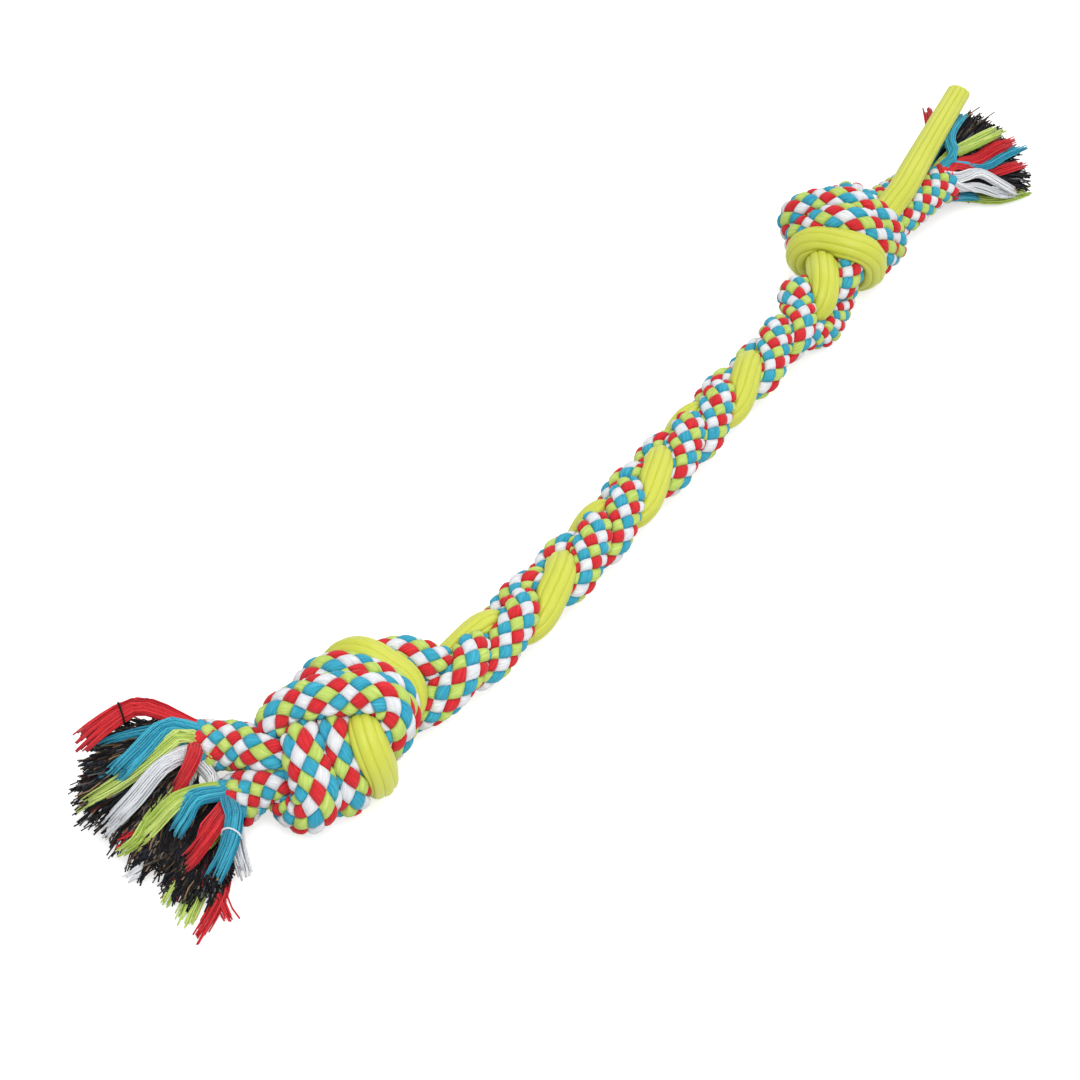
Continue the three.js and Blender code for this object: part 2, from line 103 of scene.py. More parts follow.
def eased(x: Array, low: float, high: float) -> Array:
    """Rises smoothly from 0 at the low number to 1 at the high one."""
    w = np.clip((x - low) / (high - low), 0, 1)
    return w * w * (3 - 2 * w)


def turn(v: Array, axis: Array, angle: float) -> Array:
    """Turns a vector about a unit axis.

    Args:
        v: The vector.
        axis: A unit vector.
        angle: Radians, by the right-hand rule.

    Returns:
        The turned vector.
    """
    return (
        v * math.cos(angle)
        + np.cross(axis, v) * math.sin(angle)
        + axis * np.dot(axis, v) * (1 - math.cos(angle))
    )


def take(values: Array, at: Array) -> Array:
    """Reads rows of a table at fractional places.

    Args:
        values: A table of rows.
        at: Fractional row numbers.

    Returns:
        One row for each place, between its two neighbours.
    """
    i = np.clip(np.floor(at).astype(int), 0, len(values) - 2)
    w = np.clip(at - i, 0, 1).reshape(-1, *[1] * (values.ndim - 1))
    return values[i] * (1 - w) + values[i + 1] * w


def smoothed(values: Array, sigma: float) -> Array:
    """Blurs a table along its first axis, holding its ends.

    Args:
        values: A table of rows.
        sigma: Width of the blur, in rows.

    Returns:
        The blurred table.
    """
    reach = max(1, int(3 * sigma))
    weights = np.exp(-0.5 * (np.arange(-reach, reach + 1) / sigma) ** 2)
    weights /= weights.sum()
    ends = np.concatenate([np.repeat(values[:1], reach, 0), values, np.repeat(values[-1:], reach, 0)])
    return sum(w * ends[k : k + len(values)] for k, w in enumerate(weights))


class Curve:
    """A centripetal curve through points, read by its share of the way or by its length."""

    DIVISIONS = 200

    def __init__(self, points: Array) -> None:
        """Makes the curve.

        Args:
            points: The points that it goes through.
        """
        self.points = np.asarray(points, float)
        first, last = 2 * self.points[0] - self.points[1], 2 * self.points[-1] - self.points[-2]
        self._held = np.vstack([first, self.points, last])
        at = self.point(np.linspace(0, 1, self.DIVISIONS + 1))
        self.lengths = np.concatenate([[0], np.cumsum(np.linalg.norm(np.diff(at, axis=0), axis=1))])

    def point(self, share: Array) -> Array:
        """Gives points by their share of the way from the first point to the last.

        Args:
            share: Numbers from 0 to 1.

        Returns:
            One point for each number.
        """
        count = len(self.points)
        at = np.clip(np.asarray(share, float), 0, 1) * (count - 1)
        i = np.minimum(np.floor(at).astype(int), count - 2)
        w = (at - i)[:, None]
        p0, p1, p2, p3 = (self._held[i + k] for k in range(4))
        d0, d1, d2 = (
            np.sqrt(np.linalg.norm(b - a, axis=1))[:, None] for a, b in ((p0, p1), (p1, p2), (p2, p3))
        )
        t1 = ((p1 - p0) / d0 - (p2 - p0) / (d0 + d1) + (p2 - p1) / d1) * d1
        t2 = ((p2 - p1) / d1 - (p3 - p1) / (d1 + d2) + (p3 - p2) / d2) * d1
        c2 = -3 * p1 + 3 * p2 - 2 * t1 - t2
        c3 = 2 * p1 - 2 * p2 + t1 + t2
        return p1 + t1 * w + c2 * w**2 + c3 * w**3

    def share_at(self, u: Array) -> Array:
        """Turns shares of the curve's length into shares of the way."""
        shares = np.linspace(0, 1, self.DIVISIONS + 1)
        return np.interp(np.asarray(u) * self.lengths[-1], self.lengths, shares)

    def point_at(self, u: Array) -> Array:
        """Gives points by their share of the curve's length."""
        return self.point(self.share_at(u))

    def tangent_at(self, u: Array) -> Array:
        """Gives unit tangents by their share of the curve's length."""
        share, small = self.share_at(u), 1e-4
        return unit(self.point(share + small) - self.point(share - small))


def evenly(points: Array, step: float) -> Array:
    """Spreads points evenly along a line.

    Args:
        points: Rows whose first three numbers are a place; the others go along.
        step: Wished distance between two points.

    Returns:
        The new rows.
    """
    at = np.concatenate([[0], np.cumsum(np.linalg.norm(np.diff(points[:, :3], axis=0), axis=1))])
    s = np.linspace(0, at[-1], int(math.floor(at[-1] / step + 0.5)) + 1)
    return np.column_stack([np.interp(s, at, points[:, k]) for k in range(points.shape[1])])


# Routes


@dataclass(frozen=True)
class StrandSize:
    """One strand's thickness, how firm it is, and its place in the knots and the plait.

    Attributes:
        name: The strand's name.
        diameter: Its thickness.
        firm_in_knot: Share of its thickness that it keeps in a knot.
        firm_in_plait: The same in the plait.
        side: Its place across the ribbon of three strands in a knot.
        phase: Its share of a turn in the plait.
        slim: Share of its thickness that it is drawn to in the plait.
        cut: Thickness that it is drawn thin to at its far end.
        drawn: Length over which it is drawn thin there.
    """

    name: str
    diameter: float
    firm_in_knot: float
    firm_in_plait: float
    side: float
    phase: float
    slim: float
    cut: float
    drawn: float
    TAPER = 1.5  # how late the drawing thin sets in

    def radius(self, before: Array, plaited: Array) -> Array:
        """Gives the radius at lengths before the far end, which are more or less in the plait."""
        share = np.clip(before / self.drawn, 0, 1) ** self.TAPER
        return (self.cut + (self.diameter - self.cut) * share) / 2 * (1 - plaited * (1 - self.slim))


ROPE_A = StrandSize(
    "rope_a", diameter=15.0, firm_in_knot=0.7, firm_in_plait=0.68, side=0.0, phase=2 / 3, slim=0.86,
    cut=15.0, drawn=1.0,
)
STRANDS = (
    ROPE_A,
    replace(ROPE_A, name="rope_b", side=-1.0, phase=0.0),
    StrandSize(
        "rubber", diameter=12.5, firm_in_knot=0.88, firm_in_plait=0.78, side=1.15, phase=1 / 3, slim=0.94,
        cut=8.6, drawn=95.0,
    ),
)


@dataclass(frozen=True)
class KnotEnd:
    """One end of the toy: its knot's middle, heading and lean, how it lies, and the points of its tails.

    Attributes:
        centre: Middle of the knot as it is tied.
        heading: Way out of the knot, in degrees from the toy's length.
        lean: Tilt of its front face about that way, in degrees.
        turned: How far the tied knot is turned on the floor, in degrees.
        pressed: Its share of the tied size outwards, across and upwards.
        moved: How far it is moved.
        drift: How far each strand's tail is moved.
        tails: Points of each strand's tail.
        starts: Whether the strands start at this end.
    """

    centre: Point
    heading: float
    lean: float
    turned: float
    pressed: Point
    moved: Point
    drift: dict[str, Point]
    tails: dict[str, tuple[Point, ...]]
    starts: bool
    LAID = (24.0, 42.0)  # distances from the knot's middle between which its lay fades
    HELD = (6.0, 36.0)  # distances from a strand's end between which it takes up that lay
    LOOSE = (10.0, 60.0)  # distances from a strand's end between which its drift fades

    def out(self) -> Array:
        """Gives the way out of the knot."""
        heading = math.radians(self.heading)
        return np.array([math.cos(heading), math.sin(heading), 0])

    def laid(self, strand: str, points: Array, step: float) -> Array:
        """Turns, presses and moves the tied knot, less and less away from its middle, and moves the tails.

        Args:
            strand: The strand's name.
            points: Its points.
            step: Distance between two of them.

        Returns:
            The moved points.
        """
        out = self.out()
        axes = np.stack([out, np.cross(UP, out), UP])
        d = points - np.array(self.centre)
        scaled = (d @ axes.T * np.array(self.pressed)) @ axes
        a = math.radians(self.turned)
        spin = np.array([[math.cos(a), -math.sin(a), 0], [math.sin(a), math.cos(a), 0], [0, 0, 1]])
        order = np.arange(len(points))
        from_end = (order if self.starts else order[::-1]) * step
        w = (1 - eased(np.linalg.norm(d, axis=1), *self.LAID)) * eased(from_end, *self.HELD)
        loose = 1 - eased(from_end, *self.LOOSE)
        drift = np.outer(loose, np.array(self.drift.get(strand, (0.0, 0.0, 0.0))))
        return points + w[:, None] * (scaled @ spin.T + np.array(self.moved) - d) + drift


ENDS = {
    End.NEAR: KnotEnd(
        centre=(-183, -51, 24), heading=163, lean=44, turned=19, pressed=(1.02, 0.9, 0.82),
        moved=(-1.4, -1.4, 0),
        drift={},
        tails={
            "rope_a": ((-207, -36, 13), (-217, -38, 12)),
            "rope_b": ((-203, -25, 23), (-214, -21, 22)),
            "rubber": ((-203, -18, 14), (-209, -12, 12)),
        },
        starts=True,
    ),
    End.FAR: KnotEnd(
        centre=(141, 12, 24), heading=9, lean=-18, turned=0, pressed=(0.86, 0.98, 0.79),
        moved=(3.2, 2.8, 0),
        drift={"rope_a": (0, 0, 6), "rope_b": (1.7, -3.2, 0)},
        tails={
            "rope_a": ((194, 18, 15), (212, 17, 14)),
            "rope_b": ((195, 31, 15), (213, 35, 13)),
            "rubber": ((172, 13, 38), (239, 35, 41)),
        },
        starts=False,
    ),
}


@dataclass
class Routes:
    """The middle lines of the three strands, pulled tight as the real ones are.

    Attributes:
        step: Distance between two points of a strand.
        fine: Places that are read from one typed point to the next.
        turns: Turns of the plait.
        sway: How far a strand goes to each side in the plait.
        rise: How far it goes up and down there.
        roll: Tilt of the plait about its length, in degrees.
        ribbon: Distance between two strands side by side in a knot.
        crown: How far the middle strand stands out of their ribbon.
        lengthwise: Share of a point's place along the knot that counts in its way outwards.
        entry: Points at each end of a knot's route where the ribbon is narrowed.
        narrowed: Share of its width that the ribbon has there.
        settle_steps: Rounds of pulling tight.
        passes: Times that the strands press each other apart in a round.
        respaced: Rounds after which the points are spread evenly again.
        pull: Share of the way to its neighbours' middle that a point goes in a round.
        push: Share of an overlap by which each of two points gives way.
        margin: Distance past touching at which two points are left out.
        own_gap: Thicknesses along one strand within which its points don't press each other.
        tight: Share of its distance from the plait's middle that a drawn-in strand keeps.
        tight_most: Most that it keeps.
        tight_run: Length over which that sets in at the plait's ends.
        bow: How far the plait's middle is moved.
        middle_places: Places that are read along the plait's middle line.
        knot_reach: Distance from a knot's middle to which it rests on the floor.
        sink: How far the knots reach under the floor.
        plait_line: Middle line of the plait.
        knot_route: A strand's way through a knot: outwards, upwards and to its front.
    """

    step: float = 6.5
    fine: int = 4
    turns: float = 4
    sway: float = 7.6
    rise: float = 4.6
    roll: float = 38
    ribbon: float = 9.5
    crown: float = 3
    lengthwise: float = 0.3
    entry: int = 2
    narrowed: float = 0.6
    settle_steps: int = 240
    passes: int = 2
    respaced: int = 10
    pull: float = 0.35
    push: float = 0.25
    margin: float = 4.0
    own_gap: float = 1.6
    tight: float = 0.72
    tight_most: float = 8.5
    tight_run: float = 12
    bow: Point = (0.0, 1.2, 1.5)
    middle_places: int = 500
    knot_reach: float = 40.0
    sink: float = 1.5
    plait_line: Curve = field(default_factory=lambda: Curve(np.array([
        [-148, -54, 21], [-124, -51, 18.5], [-76, -41.5, 16.5], [-24, -29.5, 16], [32, -17, 16.5],
        [78, -7, 18.5], [103, 0, 21],
    ])))
    knot_route: Array = field(default_factory=lambda: np.array([
        [-26, 2, -2], [-12, 4, -3], [0, 8, 1], [5, 5, 9], [3, -6, 15], [-3, -16, 13.5], [-1, -24, 2.5],
        [12, -17, -11], [17, -3, -16], [15, 12, -12], [9, 20, -2], [-2, 20, 9], [-14, 13, 15], [-19, 0, 15],
        [-16, -9, 5], [-8, -11, -5], [4, -8, -5], [18, -3, 0],
    ], float))

    def knot(self, end: KnotEnd, side: float) -> Array:
        """Gives one strand's points through a knot, outwards.

        Args:
            end: The end of the toy.
            side: The strand's place across the ribbon of three strands.

        Returns:
            Points in the routes' axes.
        """
        lean, out = math.radians(end.lean), end.out()
        right = unit(np.array([0, -1.0, 0]) + out * out[1])
        front = UP * math.cos(lean) + right * math.sin(lean)
        up = np.cross(out, front)
        route, last = self.knot_route, len(self.knot_route) - 1
        placed = []
        for i, p in enumerate(route):
            along = unit(route[min(i + 1, last)] - route[max(i - 1, 0)])
            outward = np.array([self.lengthwise * p[0], p[1], p[2]])
            outward = unit(outward - along * np.dot(outward, along))
            ease = 1.0 if self.entry <= i <= last - self.entry else self.narrowed
            q = p + np.cross(along, outward) * side * self.ribbon * ease
            q = q + outward * (0 if side else self.crown * ease)
            placed.append(np.array(end.centre) + out * q[0] + up * q[1] + front * q[2])
        return np.array(placed)

    def plait(self, phase: float) -> Array:
        """Gives one strand's points in the plait.

        Args:
            phase: The strand's share of a turn.

        Returns:
            Points in the routes' axes.
        """
        count = int(math.floor(self.plait_line.lengths[-1] / self.step + 0.5))
        u = np.linspace(0, 1, count + 1)
        middle, tangent = self.plait_line.point_at(u), self.plait_line.tangent_at(u)
        placed = []
        for k in range(count + 1):
            t = tangent[k]
            across = turn(unit(np.array([t[1], -t[0], 0])), t, -math.radians(self.roll))
            over = np.cross(across, t)
            angle = 2 * math.pi * (self.turns * u[k] + phase)
            placed.append(
                middle[k] + across * self.sway * math.sin(angle) - over * self.rise * math.sin(2 * angle)
            )
        return np.array(placed)

    def loose(self, strand: StrandSize) -> Array:
        """Gives a strand from tail to tail before it is pulled tight.

        Args:
            strand: The strand.

        Returns:
            Rows of x, y, z and firmness.
        """
        near, far = ENDS[End.NEAR], ENDS[End.FAR]
        parts = [
            (np.array(near.tails[strand.name], float)[::-1], 1.0),
            (self.knot(near, strand.side)[::-1], strand.firm_in_knot),
            (self.plait(strand.phase), strand.firm_in_plait),
            (self.knot(far, strand.side), strand.firm_in_knot),
            (np.array(far.tails[strand.name], float), 1.0),
        ]
        points = np.vstack([p for p, _ in parts])
        firm = np.concatenate([np.full(len(p), f) for p, f in parts])
        last = len(points) - 1
        share = np.linspace(0, 1, self.fine * last + 1)
        firm_at = np.interp(share * last, np.arange(last + 1), firm)
        return evenly(np.column_stack([Curve(points).point(share), firm_at]), self.step)

    def press(self, points: Array, radius: Array, strand: Array, held: Array) -> Array:
        """Presses apart every two points that are closer than their strands' thickness.

        Args:
            points: All strands' points.
            radius: Each point's radius.
            strand: Each point's strand number.
            held: Whether a point stays where it is.

        Returns:
            The moved points.
        """
        need = radius[:, None] + radius[None, :]
        far = np.linalg.norm(points[:, None] - points[None, :], axis=2) >= need + self.margin
        order = np.arange(len(points))
        apart = (order[None, :] - order[:, None]) * self.step
        same = (strand[:, None] == strand[None, :]) & (apart < self.own_gap * need)
        pairs = np.argwhere(np.triu(~far & ~same, 1))
        placed = points.tolist()
        for a, b in pairs.tolist():
            one, two = placed[a], placed[b]
            x, y, z = one[0] - two[0], one[1] - two[1], one[2] - two[2]
            d = math.sqrt(x * x + y * y + z * z)
            short = need[a, b] - d
            if short <= 0 or d == 0:
                continue
            k = self.push * short / d
            if not held[a]:
                placed[a] = [one[0] + k * x, one[1] + k * y, one[2] + k * z]
            if not held[b]:
                placed[b] = [two[0] - k * x, two[1] - k * y, two[2] - k * z]
        return np.array(placed)

    def settled(self) -> list[Array]:
        """Pulls the strands tight while they press each other apart, and stands the toy on the floor.

        Returns:
            Each strand's points, in the toy's frame.
        """
        lines = [self.loose(s) for s in STRANDS]
        for n in range(1, self.settle_steps + 1):
            for line in lines:
                middle = (line[:-2, :3] + line[2:, :3]) / 2
                line[1:-1, :3] += (middle - line[1:-1, :3]) * self.pull
            radius = np.concatenate([s.diameter / 2 * line[:, 3] for s, line in zip(STRANDS, lines)])
            strand = np.concatenate([np.full(len(line), k) for k, line in enumerate(lines)])
            held = np.concatenate([[True] + [False] * (len(line) - 2) + [True] for line in lines])
            points = np.vstack([line[:, :3] for line in lines])
            for _ in range(self.passes):
                points = self.press(points, radius, strand, held)
            at = 0
            for line in lines:
                line[:, :3] = points[at : at + len(line)]
                at += len(line)
            if n % self.respaced == 0:
                lines = [evenly(line, self.step) for line in lines]
        lines = [line[:, :3] for line in lines]
        for end in ENDS.values():
            lines = [end.laid(s.name, line, self.step) for s, line in zip(STRANDS, lines)]
        return self.stood([self.drawn(line) for line in lines])

    def in_plait(self, points: Array) -> tuple[Array, Array, Array]:
        """Finds the plait's middle next to points, and how fully they are in the plait.

        Args:
            points: Points in the routes' axes.

        Returns:
            For each point: a point of the middle line, the same once the plait is bowed, and a share from
            0 to 1.
        """
        u = np.linspace(0, 1, self.middle_places)
        middle, length = self.plait_line.point_at(u), self.plait_line.lengths[-1]
        k = np.linalg.norm(points[:, None] - middle[None], axis=2).argmin(1)
        s = u[k] * length
        bowed = middle[k] + np.outer(np.sin(math.pi * u[k]) ** 2, np.array(self.bow))
        return middle[k], bowed, eased(s, 0, self.tight_run) * eased(length - s, 0, self.tight_run)

    def drawn(self, line: Array) -> Array:
        """Draws a strand in towards the middle of the plait.

        Args:
            line: The strand's points.

        Returns:
            The moved points.
        """
        middle, bowed, share = self.in_plait(line)
        out = line - middle
        far = np.linalg.norm(out, axis=1, keepdims=True)
        kept = self.tight_most * np.tanh(self.tight * far / self.tight_most) / far
        return line + (bowed + out * kept - line) * share[:, None]

    def stood(self, lines: list[Array]) -> list[Array]:
        """Lowers or lifts the toy until both knots reach a little under the floor.

        Args:
            lines: Each strand's points.

        Returns:
            The same points, in the toy's frame.
        """
        drops = []
        for end in ENDS.values():
            low = []
            for s, line in zip(STRANDS, lines):
                close = np.linalg.norm(line - end.centre, axis=1) < self.knot_reach
                low.append(np.min(line[close, 2] - s.diameter / 2, initial=math.inf))
            drops.append(-self.sink - min(low))
        first, last = (end.centre[0] for end in ENDS.values())
        for line in lines:
            w = np.clip((line[:, 0] - first) / (last - first), 0, 1)
            line[:, 2] += drops[0] + (drops[1] - drops[0]) * w
        return [line + SHIFT for line in lines]


# Strands


class Line:
    """A strand's middle line with a ring of directions at each step, and how far it reaches in each.

    Attributes:
        size: The strand's sizes.
        p: Points of the middle line, a step apart.
        tangent: The line's direction there.
        side: Each ring's first direction.
        over: Each ring's second direction.
        plaited: How fully each ring is in the plait, from 0 to 1.
        radius: The strand's radius there.
        reach: How far the strand reaches, by ring and direction.
        length: Length of the line.
    """

    STEP = 1.0
    DIRECTIONS = 48
    FINE = 12  # places that are read from one point of the route to the next
    BLUR = 2.0  # of the middle line, in steps
    STEEP = 0.9  # rise of the first tangent past which the first ring doesn't start upwards
    NEIGHBOUR = 30.0  # distance within which a strand may press
    OWN_STEPS = 3  # steps along itself within which a strand doesn't press itself
    NO_STEP = 10**6  # a step's number for the points of other strands
    FACING = 0.02  # least lean of a direction towards what presses
    UNPRESSED = 99.0  # reach that nothing limits
    REACH_BLUR = (0.8, 1.2)  # round the strand in directions, and along it in steps
    OVERLAP = 6  # directions that go twice round the ring's seam in that blur
    LEAST_REACH = 0.6
    FREE_FROM = (0.72, 0.97)  # shares of the radius between which a side turns from pressed to free
    FREE_BLUR = (2.5, 5.0)  # round and along
    EASE_IN_KNOT = 0.35  # share of a cover's ease that a knot leaves
    GIVE = 0.3  # how softly the strand goes flat where it rests on the floor

    def __init__(self, size: StrandSize, points: Array, routes: Routes) -> None:
        """Makes the fine line through a strand's points.

        Args:
            size: The strand's sizes.
            points: Its points.
            routes: The routes, for where the plait is.
        """
        self.size = size
        curve = Curve(points)
        fine = curve.point(np.linspace(0, 1, self.FINE * (len(points) - 1) + 1))
        self.p = smoothed(evenly(fine, self.STEP), self.BLUR)
        self.tangent = unit(np.gradient(self.p, axis=0))
        self.length = (len(self.p) - 1) * self.STEP
        self.side, self.over = self._frames()
        self.plaited = routes.in_plait(self.p - SHIFT)[2]
        self.radius = size.radius(self.length - np.arange(len(self.p)) * self.STEP, self.plaited)
        self.reach = np.repeat(self.radius[:, None], self.DIRECTIONS, axis=1)

    def _frames(self) -> tuple[Array, Array]:
        """Carries a ring's first direction along the line without twist.

        Returns:
            Each ring's first and second direction.
        """
        side = np.zeros_like(self.p)
        last = UP if abs(self.tangent[0, 2]) < self.STEEP else np.array([1.0, 0, 0])
        for i, t in enumerate(self.tangent):
            last = unit(last - t * np.dot(last, t))
            side[i] = last
        return side, np.cross(self.tangent, side)

    def ring(self) -> tuple[Array, Array]:
        """Gives the cosines and sines of the ring's directions."""
        angle = np.linspace(0, 2 * math.pi, self.DIRECTIONS, endpoint=False)
        return np.cos(angle)[:, None], np.sin(angle)[:, None]

    def give_way(self, others: list["Line"]) -> None:
        """Flattens the strand where its neighbours, or its own wraps, press on it.

        Args:
            others: The other strands.
        """
        cosine, sine = self.ring()
        places = np.vstack([o.p for o in others] + [self.p])
        radii = np.concatenate([o.radius for o in others] + [self.radius])
        elsewhere = np.full(sum(len(o.p) for o in others), self.NO_STEP)
        own = np.concatenate([elsewhere, np.arange(len(self.p))])
        for i, (c, r) in enumerate(zip(self.p, self.radius)):
            d = places - c
            square = np.einsum("ij,ij->i", d, d)
            near = (square < self.NEIGHBOUR**2) & (np.abs(own - i) >= self.OWN_STEPS)
            directions = cosine * self.side[i] + sine * self.over[i]
            lean = directions @ d[near].T
            half = (square[near] + r * r - radii[near] ** 2) / (2 * np.maximum(lean, 1e-6))
            limit = np.where(lean > self.FACING, half, self.UNPRESSED)
            self.reach[i] = np.minimum(r, np.min(limit, axis=1, initial=self.UNPRESSED))
        over = self.OVERLAP
        around = np.concatenate([self.reach[:, -over:], self.reach, self.reach[:, :over]], axis=1)
        around = smoothed(around.T, self.REACH_BLUR[0]).T[:, over:-over]
        self.reach = np.maximum(smoothed(around, self.REACH_BLUR[1]), self.LEAST_REACH)

    def look(self, table: Array, s: Array, angle: Array) -> Array:
        """Reads a table by ring and direction between its entries.

        Args:
            table: Values by ring and direction.
            s: Distances along the line.
            angle: Angles round it, in radians.

        Returns:
            The values there.
        """
        at = np.clip(s / self.STEP, 0, len(self.p) - 1)
        turn_at = np.mod(angle / (2 * math.pi), 1) * self.DIRECTIONS
        k = np.floor(turn_at).astype(int) % self.DIRECTIONS
        w = turn_at - np.floor(turn_at)
        i = np.clip(np.floor(at).astype(int), 0, len(self.p) - 2)
        v = at - i
        next_k = (k + 1) % self.DIRECTIONS
        low = table[i, k] * (1 - w) + table[i, next_k] * w
        high = table[i + 1, k] * (1 - w) + table[i + 1, next_k] * w
        return low * (1 - v) + high * v

    def bunching(self, ease: float) -> Array:
        """Finds how a cover's even places shift round the strand, to be wide on free sides.

        Args:
            ease: How much wider the free places are than the pressed ones in the plait; less in a knot.

        Returns:
            Turns in radians, by ring and direction.
        """
        free = eased(self.reach / self.radius[:, None], *self.FREE_FROM)
        laps = smoothed(np.concatenate([free] * 3, axis=1).T, self.FREE_BLUR[0]).T
        free = laps[:, self.DIRECTIONS : 2 * self.DIRECTIONS]
        ease_at = ease * (self.EASE_IN_KNOT + (1 - self.EASE_IN_KNOT) * self.plaited[:, None])
        dense = 1 / (1 + ease_at * smoothed(free, self.FREE_BLUR[1]))
        dense *= 2 * math.pi / dense.sum(1, keepdims=True)
        even = np.linspace(0, 2 * math.pi, self.DIRECTIONS, endpoint=False)
        placed = np.cumsum(dense, axis=1) - dense
        placed -= (placed - even).mean(1, keepdims=True)
        lap = 2 * math.pi
        round_three = np.concatenate([even - lap, even, even + lap])
        return np.array([
            np.interp(even, np.concatenate([ring - lap, ring, ring + lap]), round_three) - even
            for ring in placed
        ])

    def surface(self, s: Array, angle: Array, lift: Array) -> Array:
        """Gives points on the strand's surface, which lies flat where it rests on the floor.

        Args:
            s: Distances along the line.
            angle: Angles round it, in radians.
            lift: How far each point stands off the surface.

        Returns:
            Points in millimetres.
        """
        at = np.clip(s / self.STEP, 0, len(self.p) - 1)
        reach = self.look(self.reach, s, angle) + lift
        side, over = take(self.side, at), take(self.over, at)
        along = np.clip(s, 0, self.length)
        past = (s - along)[:, None] * take(self.tangent, at)
        direction = side * np.cos(angle)[:, None] + over * np.sin(angle)[:, None]
        placed = take(self.p, at) + past + direction * reach[:, None]
        placed[:, 2] = self.GIVE * np.logaddexp(0, placed[:, 2] / self.GIVE)
        return placed

    def nearest(self, place: Array, low: float, high: float) -> float:
        """Finds the line's point that is nearest to a place.

        Args:
            place: The place.
            low: Least distance along the line.
            high: Largest distance along it.

        Returns:
            The point's distance along the line.
        """
        s = np.arange(len(self.p)) * self.STEP
        gap = np.linalg.norm(self.p - place, axis=1) + np.where((s < low) | (s > high), math.inf, 0)
        return float(s[np.argmin(gap)])


# Meshes


def new_piece(
    name: str, verts: Array, faces: list[list[int]], finishes: list[bpy.types.Material]
) -> bpy.types.Object:
    """Makes a mesh object from points in millimetres.

    Args:
        name: The piece's name.
        verts: Points in the toy's frame.
        faces: Faces as lists of point numbers.
        finishes: The piece's materials.

    Returns:
        The object, at the origin.
    """
    mesh = bpy.data.meshes.new(name)
    mesh.from_pydata((verts * MM).tolist(), [], faces)
    for finish in finishes:
        mesh.materials.append(finish)
    mesh.shade_smooth()
    piece = bpy.data.objects.new(name, mesh)
    bpy.context.scene.collection.objects.link(piece)
    return piece


def set_uv(piece: bpy.types.Object, uv: Array) -> None:
    """Writes the piece's UV map, one pair for each face corner."""
    layer = piece.data.uv_layers.new(name="UVMap")
    layer.data.foreach_set("uv", np.asarray(uv, np.float32).ravel())


def set_point_values(piece: bpy.types.Object, name: str, values: Array) -> None:
    """Writes a number for each point of the piece under a name."""
    attribute = piece.data.attributes.new(name, "FLOAT", "POINT")
    attribute.data.foreach_set("value", np.asarray(values, np.float32))


def set_point_colours(piece: bpy.types.Object, name: str, values: Array) -> None:
    """Writes a colour for each point of the piece under a name.

    Args:
        piece: The piece.
        name: The attribute's name.
        values: Rows of red, green and blue.
    """
    attribute = piece.data.attributes.new(name, "FLOAT_COLOR", "POINT")
    rgba = np.column_stack([values, np.ones(len(values))])
    attribute.data.foreach_set("color", rgba.astype(np.float32).ravel())


# Finishes


def srgb(red: int, green: int, blue: int) -> Colour:
    """Turns a screen colour into a light value with full cover.

    Args:
        red: Share of red, from 0 to 255.
        green: Share of green.
        blue: Share of blue.

    Returns:
        The light value.
    """
    shares = np.array([red, green, blue]) / 255
    light = np.where(shares <= 0.04045, shares / 12.92, ((shares + 0.055) / 1.055) ** 2.4)
    return (*light.tolist(), 1.0)


class Graph:
    """A node tree in which a node's settings, values and links are given in one call."""

    def __init__(self, tree: bpy.types.NodeTree) -> None:
        """Takes the tree."""
        self.tree = tree

    @classmethod
    def of_material(cls, name: str) -> tuple[bpy.types.Material, "Graph"]:
        """Makes a material.

        Args:
            name: Its name.

        Returns:
            The material, and its graph.
        """
        material = bpy.data.materials.new(name)
        material.use_nodes = True
        return material, cls(material.node_tree)

    def put(self, node: bpy.types.Node, values: dict[str | int, Any]) -> None:
        """Sets a node's inputs.

        Args:
            node: The node.
            values: A value, or another node's output, for each input's name or number.
        """
        for key, value in values.items():
            if isinstance(value, bpy.types.NodeSocket):
                self.tree.links.new(value, node.inputs[key])
            else:
                node.inputs[key].default_value = value

    def add(self, kind: str, values: dict[str | int, Any], **settings: Any) -> bpy.types.Node:
        """Adds a node.

        Args:
            kind: Its type.
            values: A value, or another node's output, for each input's name or number.
            settings: Its other settings, which come before its inputs.

        Returns:
            The node.
        """
        node = self.tree.nodes.new(kind)
        for name, setting in settings.items():
            setattr(node, name, setting)
        self.put(node, values)
        return node

    def math(self, kind: str, *values: Any) -> bpy.types.NodeSocket:
        """Adds a sum or a product of values or outputs, and gives its output."""
        return self.add("ShaderNodeMath", dict(enumerate(values)), operation=kind).outputs[0]

    def noise(self, place: bpy.types.NodeSocket, scale: float, detail: float) -> bpy.types.NodeSocket:
        """Adds a noise and gives its value."""
        values = {"Vector": place, "Scale": scale, "Detail": detail}
        return self.add("ShaderNodeTexNoise", values).outputs[0]

    def mix(self, share: Any, a: Any, b: Any, **settings: Any) -> bpy.types.NodeSocket:
        """Adds a mix of two colours and gives its output."""
        values = {"Factor": share, "A": a, "B": b}
        return self.add("ShaderNodeMix", values, data_type="RGBA", **settings).outputs["Result"]

    def surface(self, colour: bpy.types.NodeSocket, height: bpy.types.NodeSocket, values: "Surface") -> None:
        """Finishes the material's own shader.

        Args:
            colour: Its colour.
            height: Height of its relief.
            values: The strength of that relief, and its other values.
        """
        relief = self.add("ShaderNodeBump", {
            "Strength": values.bump, "Distance": values.bump_depth, "Height": height,
        })
        self.put(self.tree.nodes["Principled BSDF"], {
            "Base Color": colour, "Normal": relief.outputs["Normal"], "Roughness": values.rough,
            "Specular IOR Level": values.shine, **values.more,
        })


